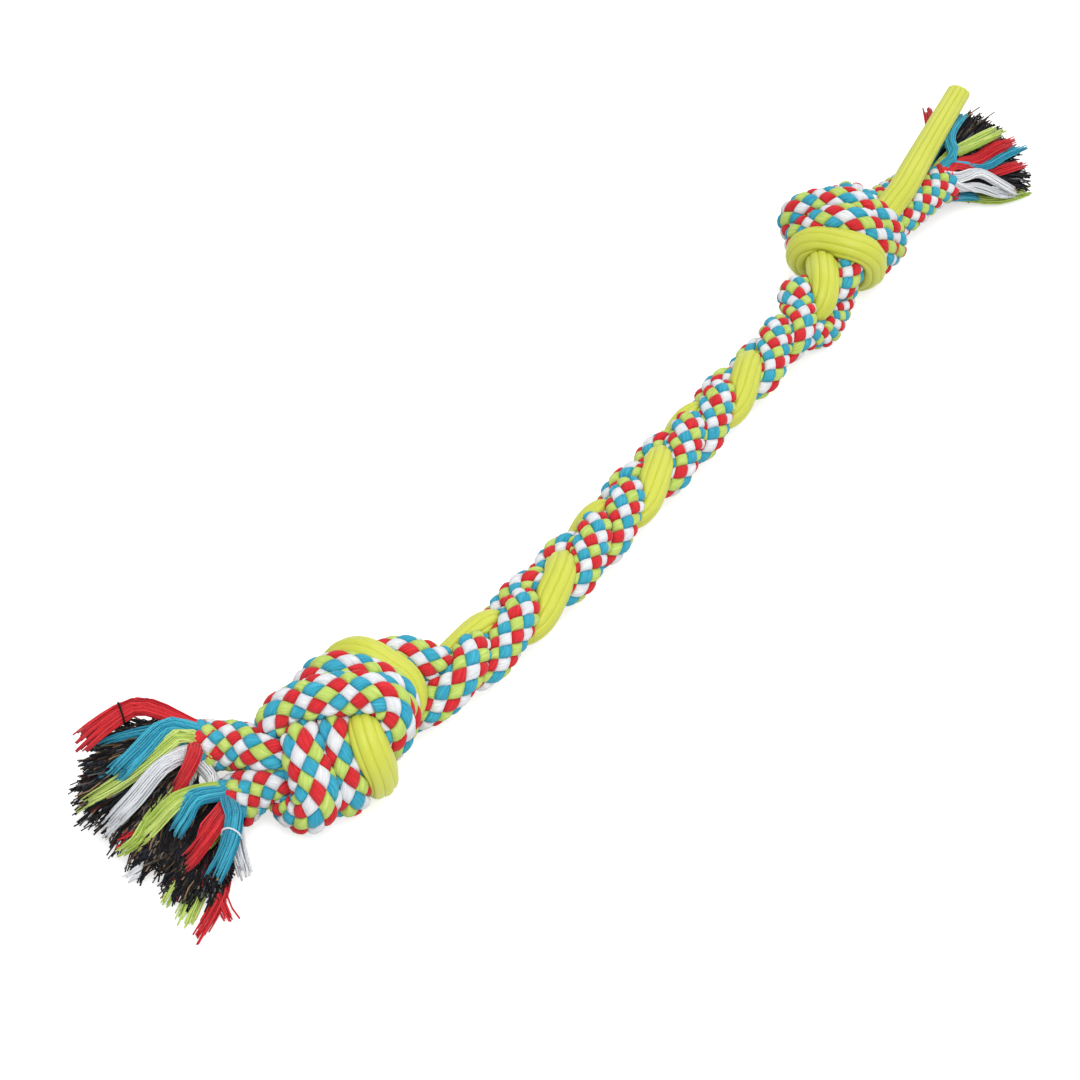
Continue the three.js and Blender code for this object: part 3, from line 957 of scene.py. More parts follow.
@dataclass(frozen=True)
class Surface:
    """How a finish takes the light.

    Attributes:
        bump: Strength of its relief.
        bump_depth: Depth of that, in metres.
        rough: Roughness.
        shine: Strength of its reflection.
        more: The shader's other inputs.
    """

    bump: float
    bump_depth: float
    rough: float
    shine: float
    more: dict[str, Any] = field(default_factory=dict)


class FibreGroup:
    """Shared node group: the fine threads and the fuzz of cotton, along a piece's UV map."""

    NAME = "cotton_fibre"
    SOCKETS = (("Threads", "INPUT"), ("Slant", "INPUT"), ("Tone", "OUTPUT"), ("Height", "OUTPUT"))
    SLOW = 0.22  # how fast a thread changes along itself
    THREAD = (1.0, 3.0)  # scale and detail of each noise
    FUZZ = (2600.0, 2.0)
    BLOTCH = (260.0, 2.0)
    THREAD_TONE = (1.5, -0.35)  # strength and darkening
    BLOTCH_TONE = 0.3
    THREAD_HEIGHT = 0.75
    FUZZ_HEIGHT = 0.25

    @classmethod
    def get(cls) -> bpy.types.NodeTree:
        """Makes the group, once.

        Returns:
            The group.
        """
        if cls.NAME in bpy.data.node_groups:
            return bpy.data.node_groups[cls.NAME]
        group = bpy.data.node_groups.new(cls.NAME, "ShaderNodeTree")
        for name, side in cls.SOCKETS:
            group.interface.new_socket(name, in_out=side, socket_type="NodeSocketFloat")
        graph = Graph(group)
        given = graph.add("NodeGroupInput", {}).outputs
        uv = graph.add("ShaderNodeUVMap", {}, uv_map="UVMap").outputs["UV"]
        run, wide, _ = graph.add("ShaderNodeSeparateXYZ", {0: uv}).outputs
        slanting = graph.math("MULTIPLY_ADD", run, given["Slant"], wide)
        across = graph.math("MULTIPLY", slanting, given["Threads"])
        place = {"X": graph.math("MULTIPLY", run, cls.SLOW), "Y": across}
        threads = graph.noise(graph.add("ShaderNodeCombineXYZ", place).outputs[0], *cls.THREAD)
        object_place = graph.add("ShaderNodeTexCoord", {}).outputs["Object"]
        fuzz, blotch = graph.noise(object_place, *cls.FUZZ), graph.noise(object_place, *cls.BLOTCH)
        streak = graph.math("MULTIPLY_ADD", threads, *cls.THREAD_TONE)
        fuzz_height = graph.math("MULTIPLY", fuzz, cls.FUZZ_HEIGHT)
        graph.add("NodeGroupOutput", {
            "Tone": graph.math("MULTIPLY_ADD", blotch, cls.BLOTCH_TONE, streak),
            "Height": graph.math("MULTIPLY_ADD", threads, cls.THREAD_HEIGHT, fuzz_height),
        })
        return group

    @classmethod
    def place(cls, graph: Graph, threads: float, slant: float) -> Any:
        """Places the group in a material's graph with its own values, and gives the group's outputs."""
        values = {"Threads": threads, "Slant": slant}
        return graph.add("ShaderNodeGroup", values, node_tree=cls.get()).outputs


@dataclass(frozen=True)
class CottonFinish:
    """Dyed cotton yarn: fine threads, a soft fuzz, a little difference from yarn to yarn, and on the braided
    cover painted shade in the creases between cells.

    Attributes:
        name: The material's name.
        dark: Colour of its darkest threads, which the painted shade in the cover's creases also goes towards.
        light: Colour of its lightest threads.
        threads: Threads to a millimetre across a yarn.
        slant: Slant of a thread along its yarn.
        surface: How it takes the light.
    """

    name: str
    dark: Colour
    light: Colour
    threads: float = 2.2
    slant: float = 0.35
    surface: Surface = Surface(
        bump=0.6, bump_depth=0.0004, rough=0.92, shine=0.15,
        more={"Sheen Weight": 0.12, "Sheen Roughness": 0.5},
    )

    def build(self) -> bpy.types.Material:
        """Makes the material.

        Returns:
            The material.
        """
        material, graph = Graph.of_material(self.name)
        fibre = FibreGroup.place(graph, self.threads, self.slant)
        # The shade attribute holds each yarn's own tone and, on the braided cover, painted shade in the
        # creases between cells.
        shade = graph.add("ShaderNodeAttribute", {}, attribute_name="shade").outputs["Fac"]
        shades = {0: fibre["Tone"], 1: shade}
        tone = graph.add("ShaderNodeMath", shades, operation="ADD", use_clamp=True).outputs[0]
        graph.surface(graph.mix(tone, self.dark, self.light), fibre["Height"], self.surface)
        return material


@dataclass(frozen=True)
class CoreFinish:
    """Recycled core yarn: dark, with threads of other colours told by each yarn's own colour.

    Attributes:
        name: The material's name.
        threads: Threads to a millimetre across a yarn.
        slant: Slant of a thread along its yarn.
        thread_tone: How strongly the threads change the yarn's colour.
        surface: How it takes the light.
    """

    name: str
    threads: float = 2.2
    slant: float = 0.35
    thread_tone: float = 0.6
    surface: Surface = Surface(bump=0.5, bump_depth=0.0003, rough=0.95, shine=0.1)

    def build(self) -> bpy.types.Material:
        """Makes the material.

        Returns:
            The material.
        """
        material, graph = Graph.of_material(self.name)
        fibre = FibreGroup.place(graph, self.threads, self.slant)
        dye = graph.add("ShaderNodeAttribute", {}, attribute_name="yarn_colour").outputs["Color"]
        colour = graph.mix(self.thread_tone, dye, fibre["Tone"], blend_type="OVERLAY")
        graph.surface(colour, fibre["Height"], self.surface)
        return material


@dataclass(frozen=True)
class RubberFinish:
    """Soft lime rubber: satin, a little see-through at its edges, with faint mould grain.

    Attributes:
        name: The material's name.
        dark: Its darker colour.
        light: Its lighter colour.
        cloud: Scale and detail of the slow change between the two.
        grain: Scale and detail of the mould grain.
        surface: How it takes the light.
    """

    name: str
    dark: Colour
    light: Colour
    cloud: Pair = (55.0, 2.0)
    grain: Pair = (900.0, 3.0)
    surface: Surface = Surface(
        bump=0.12, bump_depth=0.0002, rough=0.42, shine=0.4,
        more={"Subsurface Weight": 0.35, "Subsurface Radius": (1.0, 1.0, 0.25), "Subsurface Scale": 0.0025},
    )

    def build(self) -> bpy.types.Material:
        """Makes the material.

        Returns:
            The material.
        """
        material, graph = Graph.of_material(self.name)
        place = graph.add("ShaderNodeTexCoord", {}).outputs["Object"]
        colour = graph.mix(graph.noise(place, *self.cloud), self.dark, self.light)
        graph.surface(colour, graph.noise(place, *self.grain), self.surface)
        return material


@dataclass
class Finishes:
    """The toy's materials, by yarn colour, with the rubber's."""

    cotton: dict[Yarn, bpy.types.Material]
    rubber: bpy.types.Material

    @classmethod
    def build(cls) -> "Finishes":
        """Makes all the materials.

        Returns:
            The materials.
        """
        yarns = {
            Yarn.RED: CottonFinish("red_cotton", srgb(176, 20, 32), srgb(234, 60, 66)),
            Yarn.WHITE: CottonFinish("white_cotton", srgb(198, 202, 208), srgb(245, 246, 248)),
            Yarn.BLUE: CottonFinish("blue_cotton", srgb(14, 124, 160), srgb(80, 190, 214)),
            Yarn.LIME: CottonFinish("lime_cotton", srgb(158, 188, 66), srgb(212, 230, 134)),
        }
        made = {yarn: finish.build() for yarn, finish in yarns.items()}
        made[Yarn.CORE] = CoreFinish("core_yarn").build()
        rubber = RubberFinish("lime_rubber", srgb(194, 201, 64), srgb(210, 214, 86)).build()
        return cls(made, rubber)


# Bends


@dataclass(frozen=True)
class Bend:
    """A joint that a strand bends over.

    Attributes:
        joint: The joint's name.
        first: The body before it.
        second: The body after it.
        at: Its distance along the strand.
        start: Where the strand starts to turn from the first body to the second.
        end: Where it has turned.
    """

    joint: str
    first: str
    second: str
    at: float
    start: Array
    end: Array


@dataclass
class Bends:
    """Finds the joints that each strand crosses in order, and cuts it into one piece for each.

    Attributes:
        joints: The frame's joints, by name.
        plait_zone: Half the length over which a strand turns at a joint of the plait.
        tail_zone: The same at a tail's joint.
        tail_seam: Distance from a tail's joint to where its piece ends.
        tail_share: Share of a strand's length, at each end, in which its tail's joint lies.
        past_end: How far the first and last pieces may reach past the strand's ends.
        places: Places that are read along the plait's middle line.
    """

    joints: dict[str, dict[str, Any]]
    plait_zone: float = 22.0
    tail_zone: float = 9.0
    tail_seam: float = 13.0
    tail_share: float = 0.2
    past_end: float = 10.0
    places: int = 200
    PLAIT = (
        ("near_knot_bend", "near_knot", "plait_1"), ("plait_near_lift", "plait_1", "plait_2"),
        ("plait_middle_bend", "plait_2", "plait_3"), ("plait_far_lift", "plait_3", "plait_4"),
        ("far_knot_bend", "plait_4", "far_knot"),
    )

    def pivot(self, joint: str) -> Array:
        """Gives a joint's place in millimetres."""
        return np.array(self.joints[joint]["pos_m"]) / MM

    def of(self, line: Line, routes: Routes) -> list[Bend]:
        """Gives the joints that a strand crosses, from the near end to the far end.

        Args:
            line: The strand.
            routes: The routes, for the plait's direction.

        Returns:
            The bends in order.
        """
        name, way = line.size.name, routes.plait_line
        u = np.linspace(0, 1, self.places)
        first_end, last_end = self.tail_share * line.length, (1 - self.tail_share) * line.length
        found = []
        for joint, first, second in self.PLAIT:
            pivot = self.pivot(joint)
            near = u[np.argmin(np.linalg.norm(way.point_at(u) + SHIFT - pivot, axis=1))]
            along = way.tangent_at(np.array([near]))[0] * self.plait_zone
            s = line.nearest(pivot, first_end, last_end)
            found.append(Bend(joint, first, second, s, pivot - along, pivot + along))
        for end in End:
            joint = f"{end.value}_{name}_tail"
            if joint not in self.joints:
                continue
            pivot = self.pivot(joint)
            limits = (0, first_end) if end is End.NEAR else (last_end, line.length)
            s = line.nearest(pivot, *limits)
            along = take(line.tangent, np.array([s / line.STEP]))[0] * self.tail_zone
            knot = f"{end.value}_knot"
            pair = (joint, knot) if end is End.NEAR else (knot, joint)
            found.append(Bend(joint, *pair, s, pivot - along, pivot + along))
        return sorted(found, key=lambda b: b.at)

    def seams(self, line: Line, bends: list[Bend]) -> list[float]:
        """Gives where the strand's pieces meet, with its two ends.

        Args:
            line: The strand.
            bends: The joints that it crosses.

        Returns:
            Distances along the line, one more than there are bends.
        """
        cuts = [-self.past_end]
        for a, b in zip(bends, bends[1:]):
            if a.joint.endswith("tail"):
                cuts.append(a.at + self.tail_seam)
            elif b.joint.endswith("tail"):
                cuts.append(b.at - self.tail_seam)
            else:
                cuts.append((a.at + b.at) / 2)
        return [*cuts, line.length + self.past_end]


def nodes_for(strand: str, bends: list[Bend], index: int) -> list[str]:
    """Gives the solids of one strand that its piece over a joint stands for.

    Args:
        strand: The strand's name.
        bends: All its joints in order.
        index: The piece's place among them.

    Returns:
        Names of solids: that of the first body, and of the last body on the last piece.
    """
    bodies = [bends[index].first] + ([bends[index].second] if index == len(bends) - 1 else [])
    tails = {f"{end.value}_{strand}_tail": f"{strand}_{end.value}_tail" for end in End}
    return [tails.get(body, f"{strand}_{body}") for body in bodies]


class StrandDress:
    """What shows of a strand, made in pieces: one for each joint that the strand crosses."""

    line: Line
    LABEL: str
    SLOT: str

    def piece(self, name: str, low: float, high: float) -> bpy.types.Object:
        """Makes one length of it, from one place along the strand to another."""
        raise NotImplementedError

    def build(self, bends: list[Bend], seams: list[float]) -> list[bpy.types.Object]:
        """Makes its pieces, and hides the solids that each stands for.

        Args:
            bends: The joints.
            seams: Where the pieces meet.

        Returns:
            The pieces.
        """
        strand = self.line.size.name
        made = []
        for k, bend in enumerate(bends):
            piece = self.piece(f"{strand}_{self.LABEL}_{k + 1}", seams[k], seams[k + 1])
            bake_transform(piece)
            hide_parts(*nodes_for(strand, bends, k))
            made.append(piece)
        return made


# Rope covers


@dataclass
class RopeCover(StrandDress):
    """A rope's braided cover: carriers of four colours that pass over and under each other.

    Carriers that wind one way are red and blue by turns, and those that wind the other way white and
    lime. Each cell of the cover is the stretch of one carrier that shows between two crossings.

    Attributes:
        line: The rope.
        finishes: The toy's materials.
        carriers: Carriers each way.
        pitch: Length in which a carrier goes once round.
        puff: Height of a cell's middle over its edges.
        sunk: How far those edges lie under the rope's surface.
        painted_crease_shade: How much darker the cells' edges are painted, as painted shade in the creases
            between cells.
        uneven: Spread of the cells' shade.
        ease: How much wider cells are on a free side.
        flare: How far the cover opens at the rope's ends.
        flare_run: Length over which it opens.
        rounding: Powers of a cell's roundness along and across its carrier, and of its fullness.
        carrier_shift: How far the threads of a carrier are moved along it from those of the last.
        sharp: Angle past which an edge stays sharp, in degrees.
    """

    line: Line
    finishes: Finishes
    carriers: int = 8
    pitch: float = 48.0
    puff: float = 1.5
    sunk: float = 1.0
    # Painted shade: how much the colour darkens towards each cell's edges, in the creases.
    painted_crease_shade: float = 0.35
    uneven: float = 0.03
    ease: float = 0.9
    flare: float = 0.9
    flare_run: float = 9.0
    rounding: Point = (2.4, 3.2, 0.6)
    carrier_shift: float = 3.7
    sharp: float = 50.0
    LABEL = "cover"
    SLOT = "braided_cotton"
    PLACES = np.array([-1, -0.86, -0.5, 0, 0.5, 0.86, 1.0])  # of a cell's points, from edge to edge
    QUAD = ((0, 0), (1, 0), (1, 1), (0, 1))  # a face's corners

    def __post_init__(self) -> None:
        """Finds where the cover bunches."""
        self.turns = self.line.bunching(self.ease)

    def puffed(self, along: Array, across: Array) -> Array:
        """Gives a carrier's height, up to 1, at places from -1 to 1 along and across it in its cell."""
        long, wide, full = self.rounding
        return (1 - np.abs(along) ** long) ** full * (1 - np.abs(across) ** wide) ** full

    def lattice(self, first: int, last: int) -> tuple[Array, Array, Array, Array]:
        """Makes the cells of some rows of the cover.

        Args:
            first: Number of the first row.
            last: Number of the row after the last.

        Returns:
            Each point's place along the rope and turn, and its height; the faces; their finishes; and
            their corners' UVs.
        """
        n, count = len(self.PLACES) - 1, self.carriers
        spots = (1 + self.PLACES) / 2
        x, y = np.meshgrid(range(n + 1), range(n + 1), indexing="ij")
        codes, values, faces, kinds, uvs = [], [], [], [], []
        cell = self.pitch / (2 * count) * math.sqrt(2)
        lap = 2 * count * n
        for row in range(first, last):
            for k in range(count):
                i, j = k + (row + 1) // 2, k - row // 2
                one_way = row % 2 == 0
                a, b = (i + spots[x]) / count, (j + spots[y]) / count
                p, q = (self.PLACES[y], self.PLACES[x]) if one_way else (self.PLACES[x], self.PLACES[y])
                big_i, big_j = i * n + x, j * n + y
                # Cells share the points where they meet, so each place has one number
                code = (big_i - big_j - first * n + 4 * n) * lap + (big_i + big_j) % lap
                place = (a - b) / 2 * self.pitch, (a + b) * math.pi, self.puffed(p, q)
                values.append(np.stack(place, -1).reshape(-1, 3))
                at = len(codes) * (n + 1) ** 2
                codes.append(code.ravel())
                number = at + np.arange((n + 1) ** 2).reshape(n + 1, n + 1)
                corners = [number[dx : n + dx, dy : n + dy].ravel() for dx, dy in self.QUAD]
                faces.append(np.stack(corners, -1))
                yarn = 2 * (i % 2) if one_way else 1 + 2 * (j % 2)  # in the order of the enum
                kinds.append(np.full(n * n, yarn))
                run, wide = (b, a) if one_way else (a, b)
                shift = self.carrier_shift * (i if one_way else j)
                uv = np.stack([run * count * cell + shift, wide * count * cell], -1)
                uvs.append(np.stack([uv[dx : n + dx, dy : n + dy].reshape(-1, 2) for dx, dy in self.QUAD], 1))
        _, firsts, back = np.unique(np.concatenate(codes), return_index=True, return_inverse=True)
        points, corners = np.concatenate(values)[firsts], back[np.concatenate(faces)]
        return points, corners, np.concatenate(kinds), np.concatenate(uvs)

    def piece(self, name: str, low: float, high: float) -> bpy.types.Object:
        """Makes one length of the cover, closed at both ends.

        Args:
            name: The piece's name.
            low: Where it starts along the rope.
            high: Where it ends.

        Returns:
            The piece.
        """
        row = self.pitch / (2 * self.carriers)
        length = self.line.length
        first = int(round(max(low, 0.5 * row) / row))
        last = int(round(min(high, length - 0.5 * row) / row))
        values, faces, kinds, uvs = self.lattice(first, last)
        s, angle, height = values.T
        open_end = np.clip(1 - np.minimum(s, length - s) / self.flare_run, 0, 1) ** 2
        lift = self.puff * height - self.sunk + self.flare * open_end
        angle = angle + self.line.look(self.turns, s, angle)
        verts = self.line.surface(s, angle, lift)
        rng = np.random.default_rng(len(name) + first)
        # Each point's shade is a little random tone plus painted shade that darkens the cells towards their
        # edges, where the creases are.
        shade = rng.normal(0, self.uneven, len(s)) - self.painted_crease_shade * (1 - height) ** 2
        faces, kinds, uvs, verts = self.closed(faces, kinds, uvs, verts, s)
        made = new_piece(name, verts, faces, [self.finishes.cotton[yarn] for yarn in Yarn])
        made.data.polygons.foreach_set("material_index", kinds.astype(np.int32))
        set_uv(made, uvs)
        set_point_values(made, "shade", np.append(shade, [0.0, 0.0]))
        made.data.set_sharp_from_angle(angle=math.radians(self.sharp))
        return made

    def closed(
        self, faces: Array, kinds: Array, uvs: Array, verts: Array, s: Array
    ) -> tuple[list[list[int]], Array, Array, Array]:
        """Closes a length's two ends with fans on the rope's middle line.

        Args:
            faces: Four-cornered faces.
            kinds: Their finishes.
            uvs: Their corners' UVs.
            verts: The points.
            s: Each point's place along the rope.

        Returns:
            Faces, finishes, UVs for all corners, and points, with the fans.
        """
        edges = np.concatenate([faces[:, [k, (k + 1) % 4]] for k in range(4)])
        key = np.sort(edges, 1) @ np.array([len(verts), 1])
        _, where, times = np.unique(key, return_index=True, return_counts=True)
        rim = edges[where[times == 1]]
        middle = (s.min() + s.max()) / 2
        low, high = s[rim].mean(1) < middle, s[rim].mean(1) >= middle
        ends = np.array([s[rim[low]].mean(), s[rim[high]].mean()])
        centres = take(self.line.p, np.clip(ends / self.line.STEP, 0, len(self.line.p) - 1))
        hub = np.where(low, len(verts), len(verts) + 1)
        fans = np.column_stack([rim[:, 1], rim[:, 0], hub])
        every = faces.tolist() + fans.tolist()
        kinds = np.concatenate([kinds, np.full(len(fans), list(Yarn).index(Yarn.CORE))])
        corners = np.concatenate([uvs.reshape(-1, 2), np.zeros((3 * len(fans), 2))])
        return every, kinds, corners, np.vstack([verts, centres])


# Rubber strand


@dataclass
class RubberStrand(StrandDress):
    """A soft bar with rounded ribs along it, cut straight at its near end and slanting at its far end.

    Attributes:
        line: The strand.
        finish: Its material.
        step: Distance between two rings of points.
        ribs: Ribs round it.
        rib_steps: Points round one rib.
        rib_depth: Depth of the grooves.
        rib_round: How fully a rib is rounded.
        edge: Rounding of the cut ends' edges.
        edge_start: How far the last ring before an edge is drawn in.
        edge_run: That ring's distance from the end.
        cut_slope: Slope of the far cut.
        cut_extra: How far it is drawn out.
        cut_run: Length over which it is drawn out.
        fuller: How much thicker the far tail is than the line says.
        tail: Distances from the far end between which that sets in.
        sharp: Angle past which an edge stays sharp, in degrees.
    """

    line: Line
    finish: bpy.types.Material
    step: float = 0.9
    ribs: int = 10
    rib_steps: int = 8
    rib_depth: float = 0.75
    rib_round: float = 0.95
    edge: float = 0.4
    edge_start: float = 0.15
    edge_run: float = 0.3
    cut_slope: float = 0.5
    cut_extra: float = 5.5
    cut_run: float = 25.0
    fuller: float = 0.5
    tail: Pair = (75.0, 50.0)
    sharp: float = 60.0
    LABEL = "strand"
    SLOT = "lime_rubber"

    def profile(self) -> tuple[Array, Array]:
        """Gives the angles of a ring's points and how far the ribs stand off there.

        Returns:
            Angles in radians, and heights below the strand's full thickness.
        """
        one = np.sin(np.linspace(-0.5, 0.5, self.rib_steps + 1)[:-1] * math.pi) * 0.5
        places = (one[None, :] + 0.5 + np.arange(self.ribs)[:, None]).ravel()
        heights = np.tile(np.sqrt(1 - self.rib_round * (2 * one) ** 2), self.ribs)
        return places / self.ribs * 2 * math.pi, (heights - 1) * self.rib_depth

    def piece(self, name: str, low: float, high: float) -> bpy.types.Object:
        """Makes one length of the strand, closed at both ends.

        Args:
            name: The piece's name.
            low: Where it starts along the strand.
            high: Where it ends.

        Returns:
            The piece.
        """
        length = self.line.length
        first, last = max(low, 0.0), min(high, length)
        s = np.linspace(first, last, int((last - first) / self.step) + 1)
        angle, height = self.profile()
        around = len(angle)
        inset = np.zeros_like(s)
        if first == 0.0:
            s = np.concatenate([[0.0, 0.0, self.edge_run], s[1:]])
            inset = np.concatenate([[2 * self.edge, self.edge, self.edge_start], inset[1:]])
        if last == length:
            s = np.concatenate([s[:-1], [length - self.edge_run, length, length]])
            inset = np.concatenate([inset[:-1], [self.edge_start, self.edge, 2 * self.edge]])
        grid_s = np.repeat(s, around)
        inset -= self.fuller * eased(s, length - self.tail[0], length - self.tail[1])
        lift = np.tile(height, len(s)) - np.repeat(inset, around)
        verts = self.line.surface(grid_s, np.tile(angle, len(s)), lift)
        if last == length:
            verts = self.cut(verts)
        number = np.arange(len(s) * around).reshape(len(s), around)
        nxt = np.roll(number, -1, axis=1)
        faces = np.stack([number[:-1], nxt[:-1], nxt[1:], number[1:]], -1).reshape(-1, 4).tolist()
        faces += [number[0][::-1].tolist(), number[-1].tolist()]
        made = new_piece(name, verts, faces, [self.finish])
        made.data.set_sharp_from_angle(angle=math.radians(self.sharp))
        return made

    def cut(self, verts: Array) -> Array:
        """Draws the far end out to its slanting cut.

        Args:
            verts: Points of the last piece.

        Returns:
            The moved points.
        """
        tip, axis = self.line.p[-1], self.line.tangent[-1]
        over = unit(UP - axis * axis[2])
        share = eased((verts - tip) @ axis, -self.cut_run, 0)
        shift = share * (self.cut_extra - self.cut_slope * ((verts - tip) @ over))
        return verts + shift[:, None] * axis


# Tassels


YARN_SIDES = 4
YARN_STEEP = 0.8  # rise of a yarn's start past which its first ring doesn't start upwards
YARN_SHIFT = 7.3  # how far the threads of a yarn are moved along it from those of the last
YARN_SIDE = 0.5  # width of a yarn's side on its UV map


def yarn_tubes(paths: Array, radius: Array) -> tuple[Array, list[list[int]], Array]:
    """Makes closed thin tubes along many paths.

    Args:
        paths: Points by yarn and step.
        radius: Radius by yarn and step.

    Returns:
        Points, faces, and the UVs of the faces' corners.
    """
    (count, steps), sides = paths.shape[:2], YARN_SIDES
    tangent = unit(np.gradient(paths, axis=1))
    side = np.zeros_like(paths)
    last = np.where(np.abs(tangent[:, 0, 2:3]) < YARN_STEEP, UP, np.array([1.0, 0, 0]))
    for k in range(steps):
        t = tangent[:, k]
        last = unit(last - t * np.sum(last * t, 1, keepdims=True))
        side[:, k] = last
    over = np.cross(tangent, side)
    angle = np.linspace(0, 2 * math.pi, sides, endpoint=False)
    ring = side[:, :, None] * np.cos(angle)[:, None] + over[:, :, None] * np.sin(angle)[:, None]
    verts = (paths[:, :, None] + ring * radius[:, :, None, None]).reshape(-1, 3)
    number = np.arange(count * steps * sides).reshape(count, steps, sides)
    nxt = np.roll(number, -1, axis=2)
    quads = np.stack([number[:, :-1], nxt[:, :-1], nxt[:, 1:], number[:, 1:]], -1).reshape(-1, 4)
    caps = np.concatenate([number[:, 0, ::-1], number[:, -1]]).tolist()
    lengths = np.cumsum(np.linalg.norm(np.diff(paths, axis=1), axis=2), 1)
    run = np.concatenate([np.zeros((count, 1)), lengths], 1) + YARN_SHIFT * np.arange(count)[:, None]
    u = np.repeat(run[:, :, None], sides, 2)
    v = np.broadcast_to(np.arange(sides) * YARN_SIDE, u.shape)
    table = np.stack([u, v], -1).reshape(-1, 2)
    uv = np.concatenate([table[quads].reshape(-1, 2), np.zeros((2 * count * sides, 2))])
    return verts, quads.tolist() + caps, uv


def packed(count: int) -> tuple[Array, Array]:
    """Gives places that fill a disc of radius 1 evenly, as yarns fill a bundle.

    Args:
        count: Number of places.

    Returns:
        Their places across and up.
    """
    k = np.arange(count) + 0.5
    spot, angle = np.sqrt(k / count), k * math.pi * (3 - math.sqrt(5))
    return spot * np.cos(angle), spot * np.sin(angle)


@dataclass(frozen=True)
class Hank:
    """One loose carrier at a frayed end.

    Attributes:
        yarn: Its colour.
        way: Points in the routes' axes: on which side it leaves the rope, then where it lies, to its tip.
        wide: Half its width at the tip.
        full: Share of the yarns of a whole carrier that it has for its width.
        per_width: Yarns of a whole carrier for each millimetre of that half width.
    """

    yarn: Yarn
    way: tuple[Point, ...]
    wide: float = 3.4
    full: float = 1.0
    per_width: float = 14.0

    @property
    def count(self) -> int:
        """Gives the number of its yarns."""
        return round(self.per_width * self.wide * self.full)


@dataclass(frozen=True)
class CoreFan:
    """The core yarn at a frayed end.

    Attributes:
        low: Line that its lowest tips lie on, in the routes' axes.
        high: Line that its highest tips lie on.
        count: Number of yarns.
    """

    low: tuple[Point, ...]
    high: tuple[Point, ...]
    count: int = 230


@dataclass(frozen=True)
class Thread:
    """A single thread that lies over a hank: its colour, the points that it passes, and its dye."""

    yarn: Yarn
    way: tuple[Point, ...]
    dye: int = 0


@dataclass(frozen=True)
class HankLay:
    """How the yarns of a loose carrier lie. Shares are of its length.

    Attributes:
        helix: Turn round the rope in which it comes up to the rim, in radians.
        inside: How far inside the rope it starts.
        sunk: How far under the rope's surface it starts.
        lip: How far under that surface it leaves the rope.
        lip_out: How far past the rope's end that is.
        root: Half its width and half its height where it leaves the rope.
        deep: Half its height further out.
        widening: Power with which it widens.
        raised: Shares between which it takes up that height.
        thinned: Shares between which it grows thin again.
        thin: Share of its height that it loses there.
        flattened: Shares between which its width turns level.
        locks: Least number of locks, and yarns in a lock.
        ragged: Most by which a yarn and a lock are shorter than the longest, as shares.
        gathered: Shares between which the yarns draw together in locks.
        gather: How far they draw together.
        lock_spread: How far the locks draw apart.
        strays: Share of the yarns that stray.
        waves: Waves of a yarn that strays, and of another.
        upward: Share of those waves that goes up and down.
    """

    helix: float = 0.65
    inside: float = 5.0
    sunk: float = 1.6
    lip: float = 0.6
    lip_out: float = 0.8
    root: Pair = (2.2, 0.9)
    deep: float = 1.8
    widening: float = 1.2
    raised: Pair = (0.0, 0.4)
    thinned: Pair = (0.6, 1.0)
    thin: float = 0.3
    flattened: Pair = (0.1, 0.45)
    locks: tuple[int, int] = (3, 6)
    ragged: Pair = (0.1, 0.12)
    gathered: Pair = (0.55, 1.0)
    gather: float = 0.5
    lock_spread: float = 1.12
    strays: float = 0.06
    waves: Pair = (1.1, 0.22)
    upward: float = 0.7


@dataclass(frozen=True)
class CoreLay:
    """How the core's yarns lie. Shares are of a yarn's length.

    Attributes:
        inside: How far inside the rope they start.
        room: Radius of the room that they have there.
        closer: How many times closer they are there than at their tips.
        straight: Share in which they go straight out.
        opened: How far they have opened after it.
        last: Share in which they go to their tips.
        arch: How high they arch before it, as a share.
        ragged: Most by which a yarn is shorter than the longest, as a share.
        short: Share of the yarns that are cut short.
        cut: Shares between which those are cut.
        plies: Plies of a yarn.
        twist: Turn of the plies, in radians to a millimetre.
        parted: Shares between which the plies part.
        parting: Least and most that they part, in radii.
        wave: Waves of a ply.
        uneven: Least and most that a ply reaches past its yarn.
        tilt: Lean of the upright that a yarn's sides are found from.
    """

    inside: float = 6.0
    room: float = 5.4
    closer: float = 1.6
    straight: float = 0.35
    opened: float = 1.25
    last: float = 0.35
    arch: float = 0.08
    ragged: float = 0.14
    short: float = 0.4
    cut: Pair = (0.62, 0.95)
    plies: int = 3
    twist: float = 1.1
    parted: Pair = (0.72, 1.0)
    parting: Pair = (0.2, 2.6)
    wave: float = 0.3
    uneven: Pair = (-1.2, 0.9)
    tilt: float = 0.1


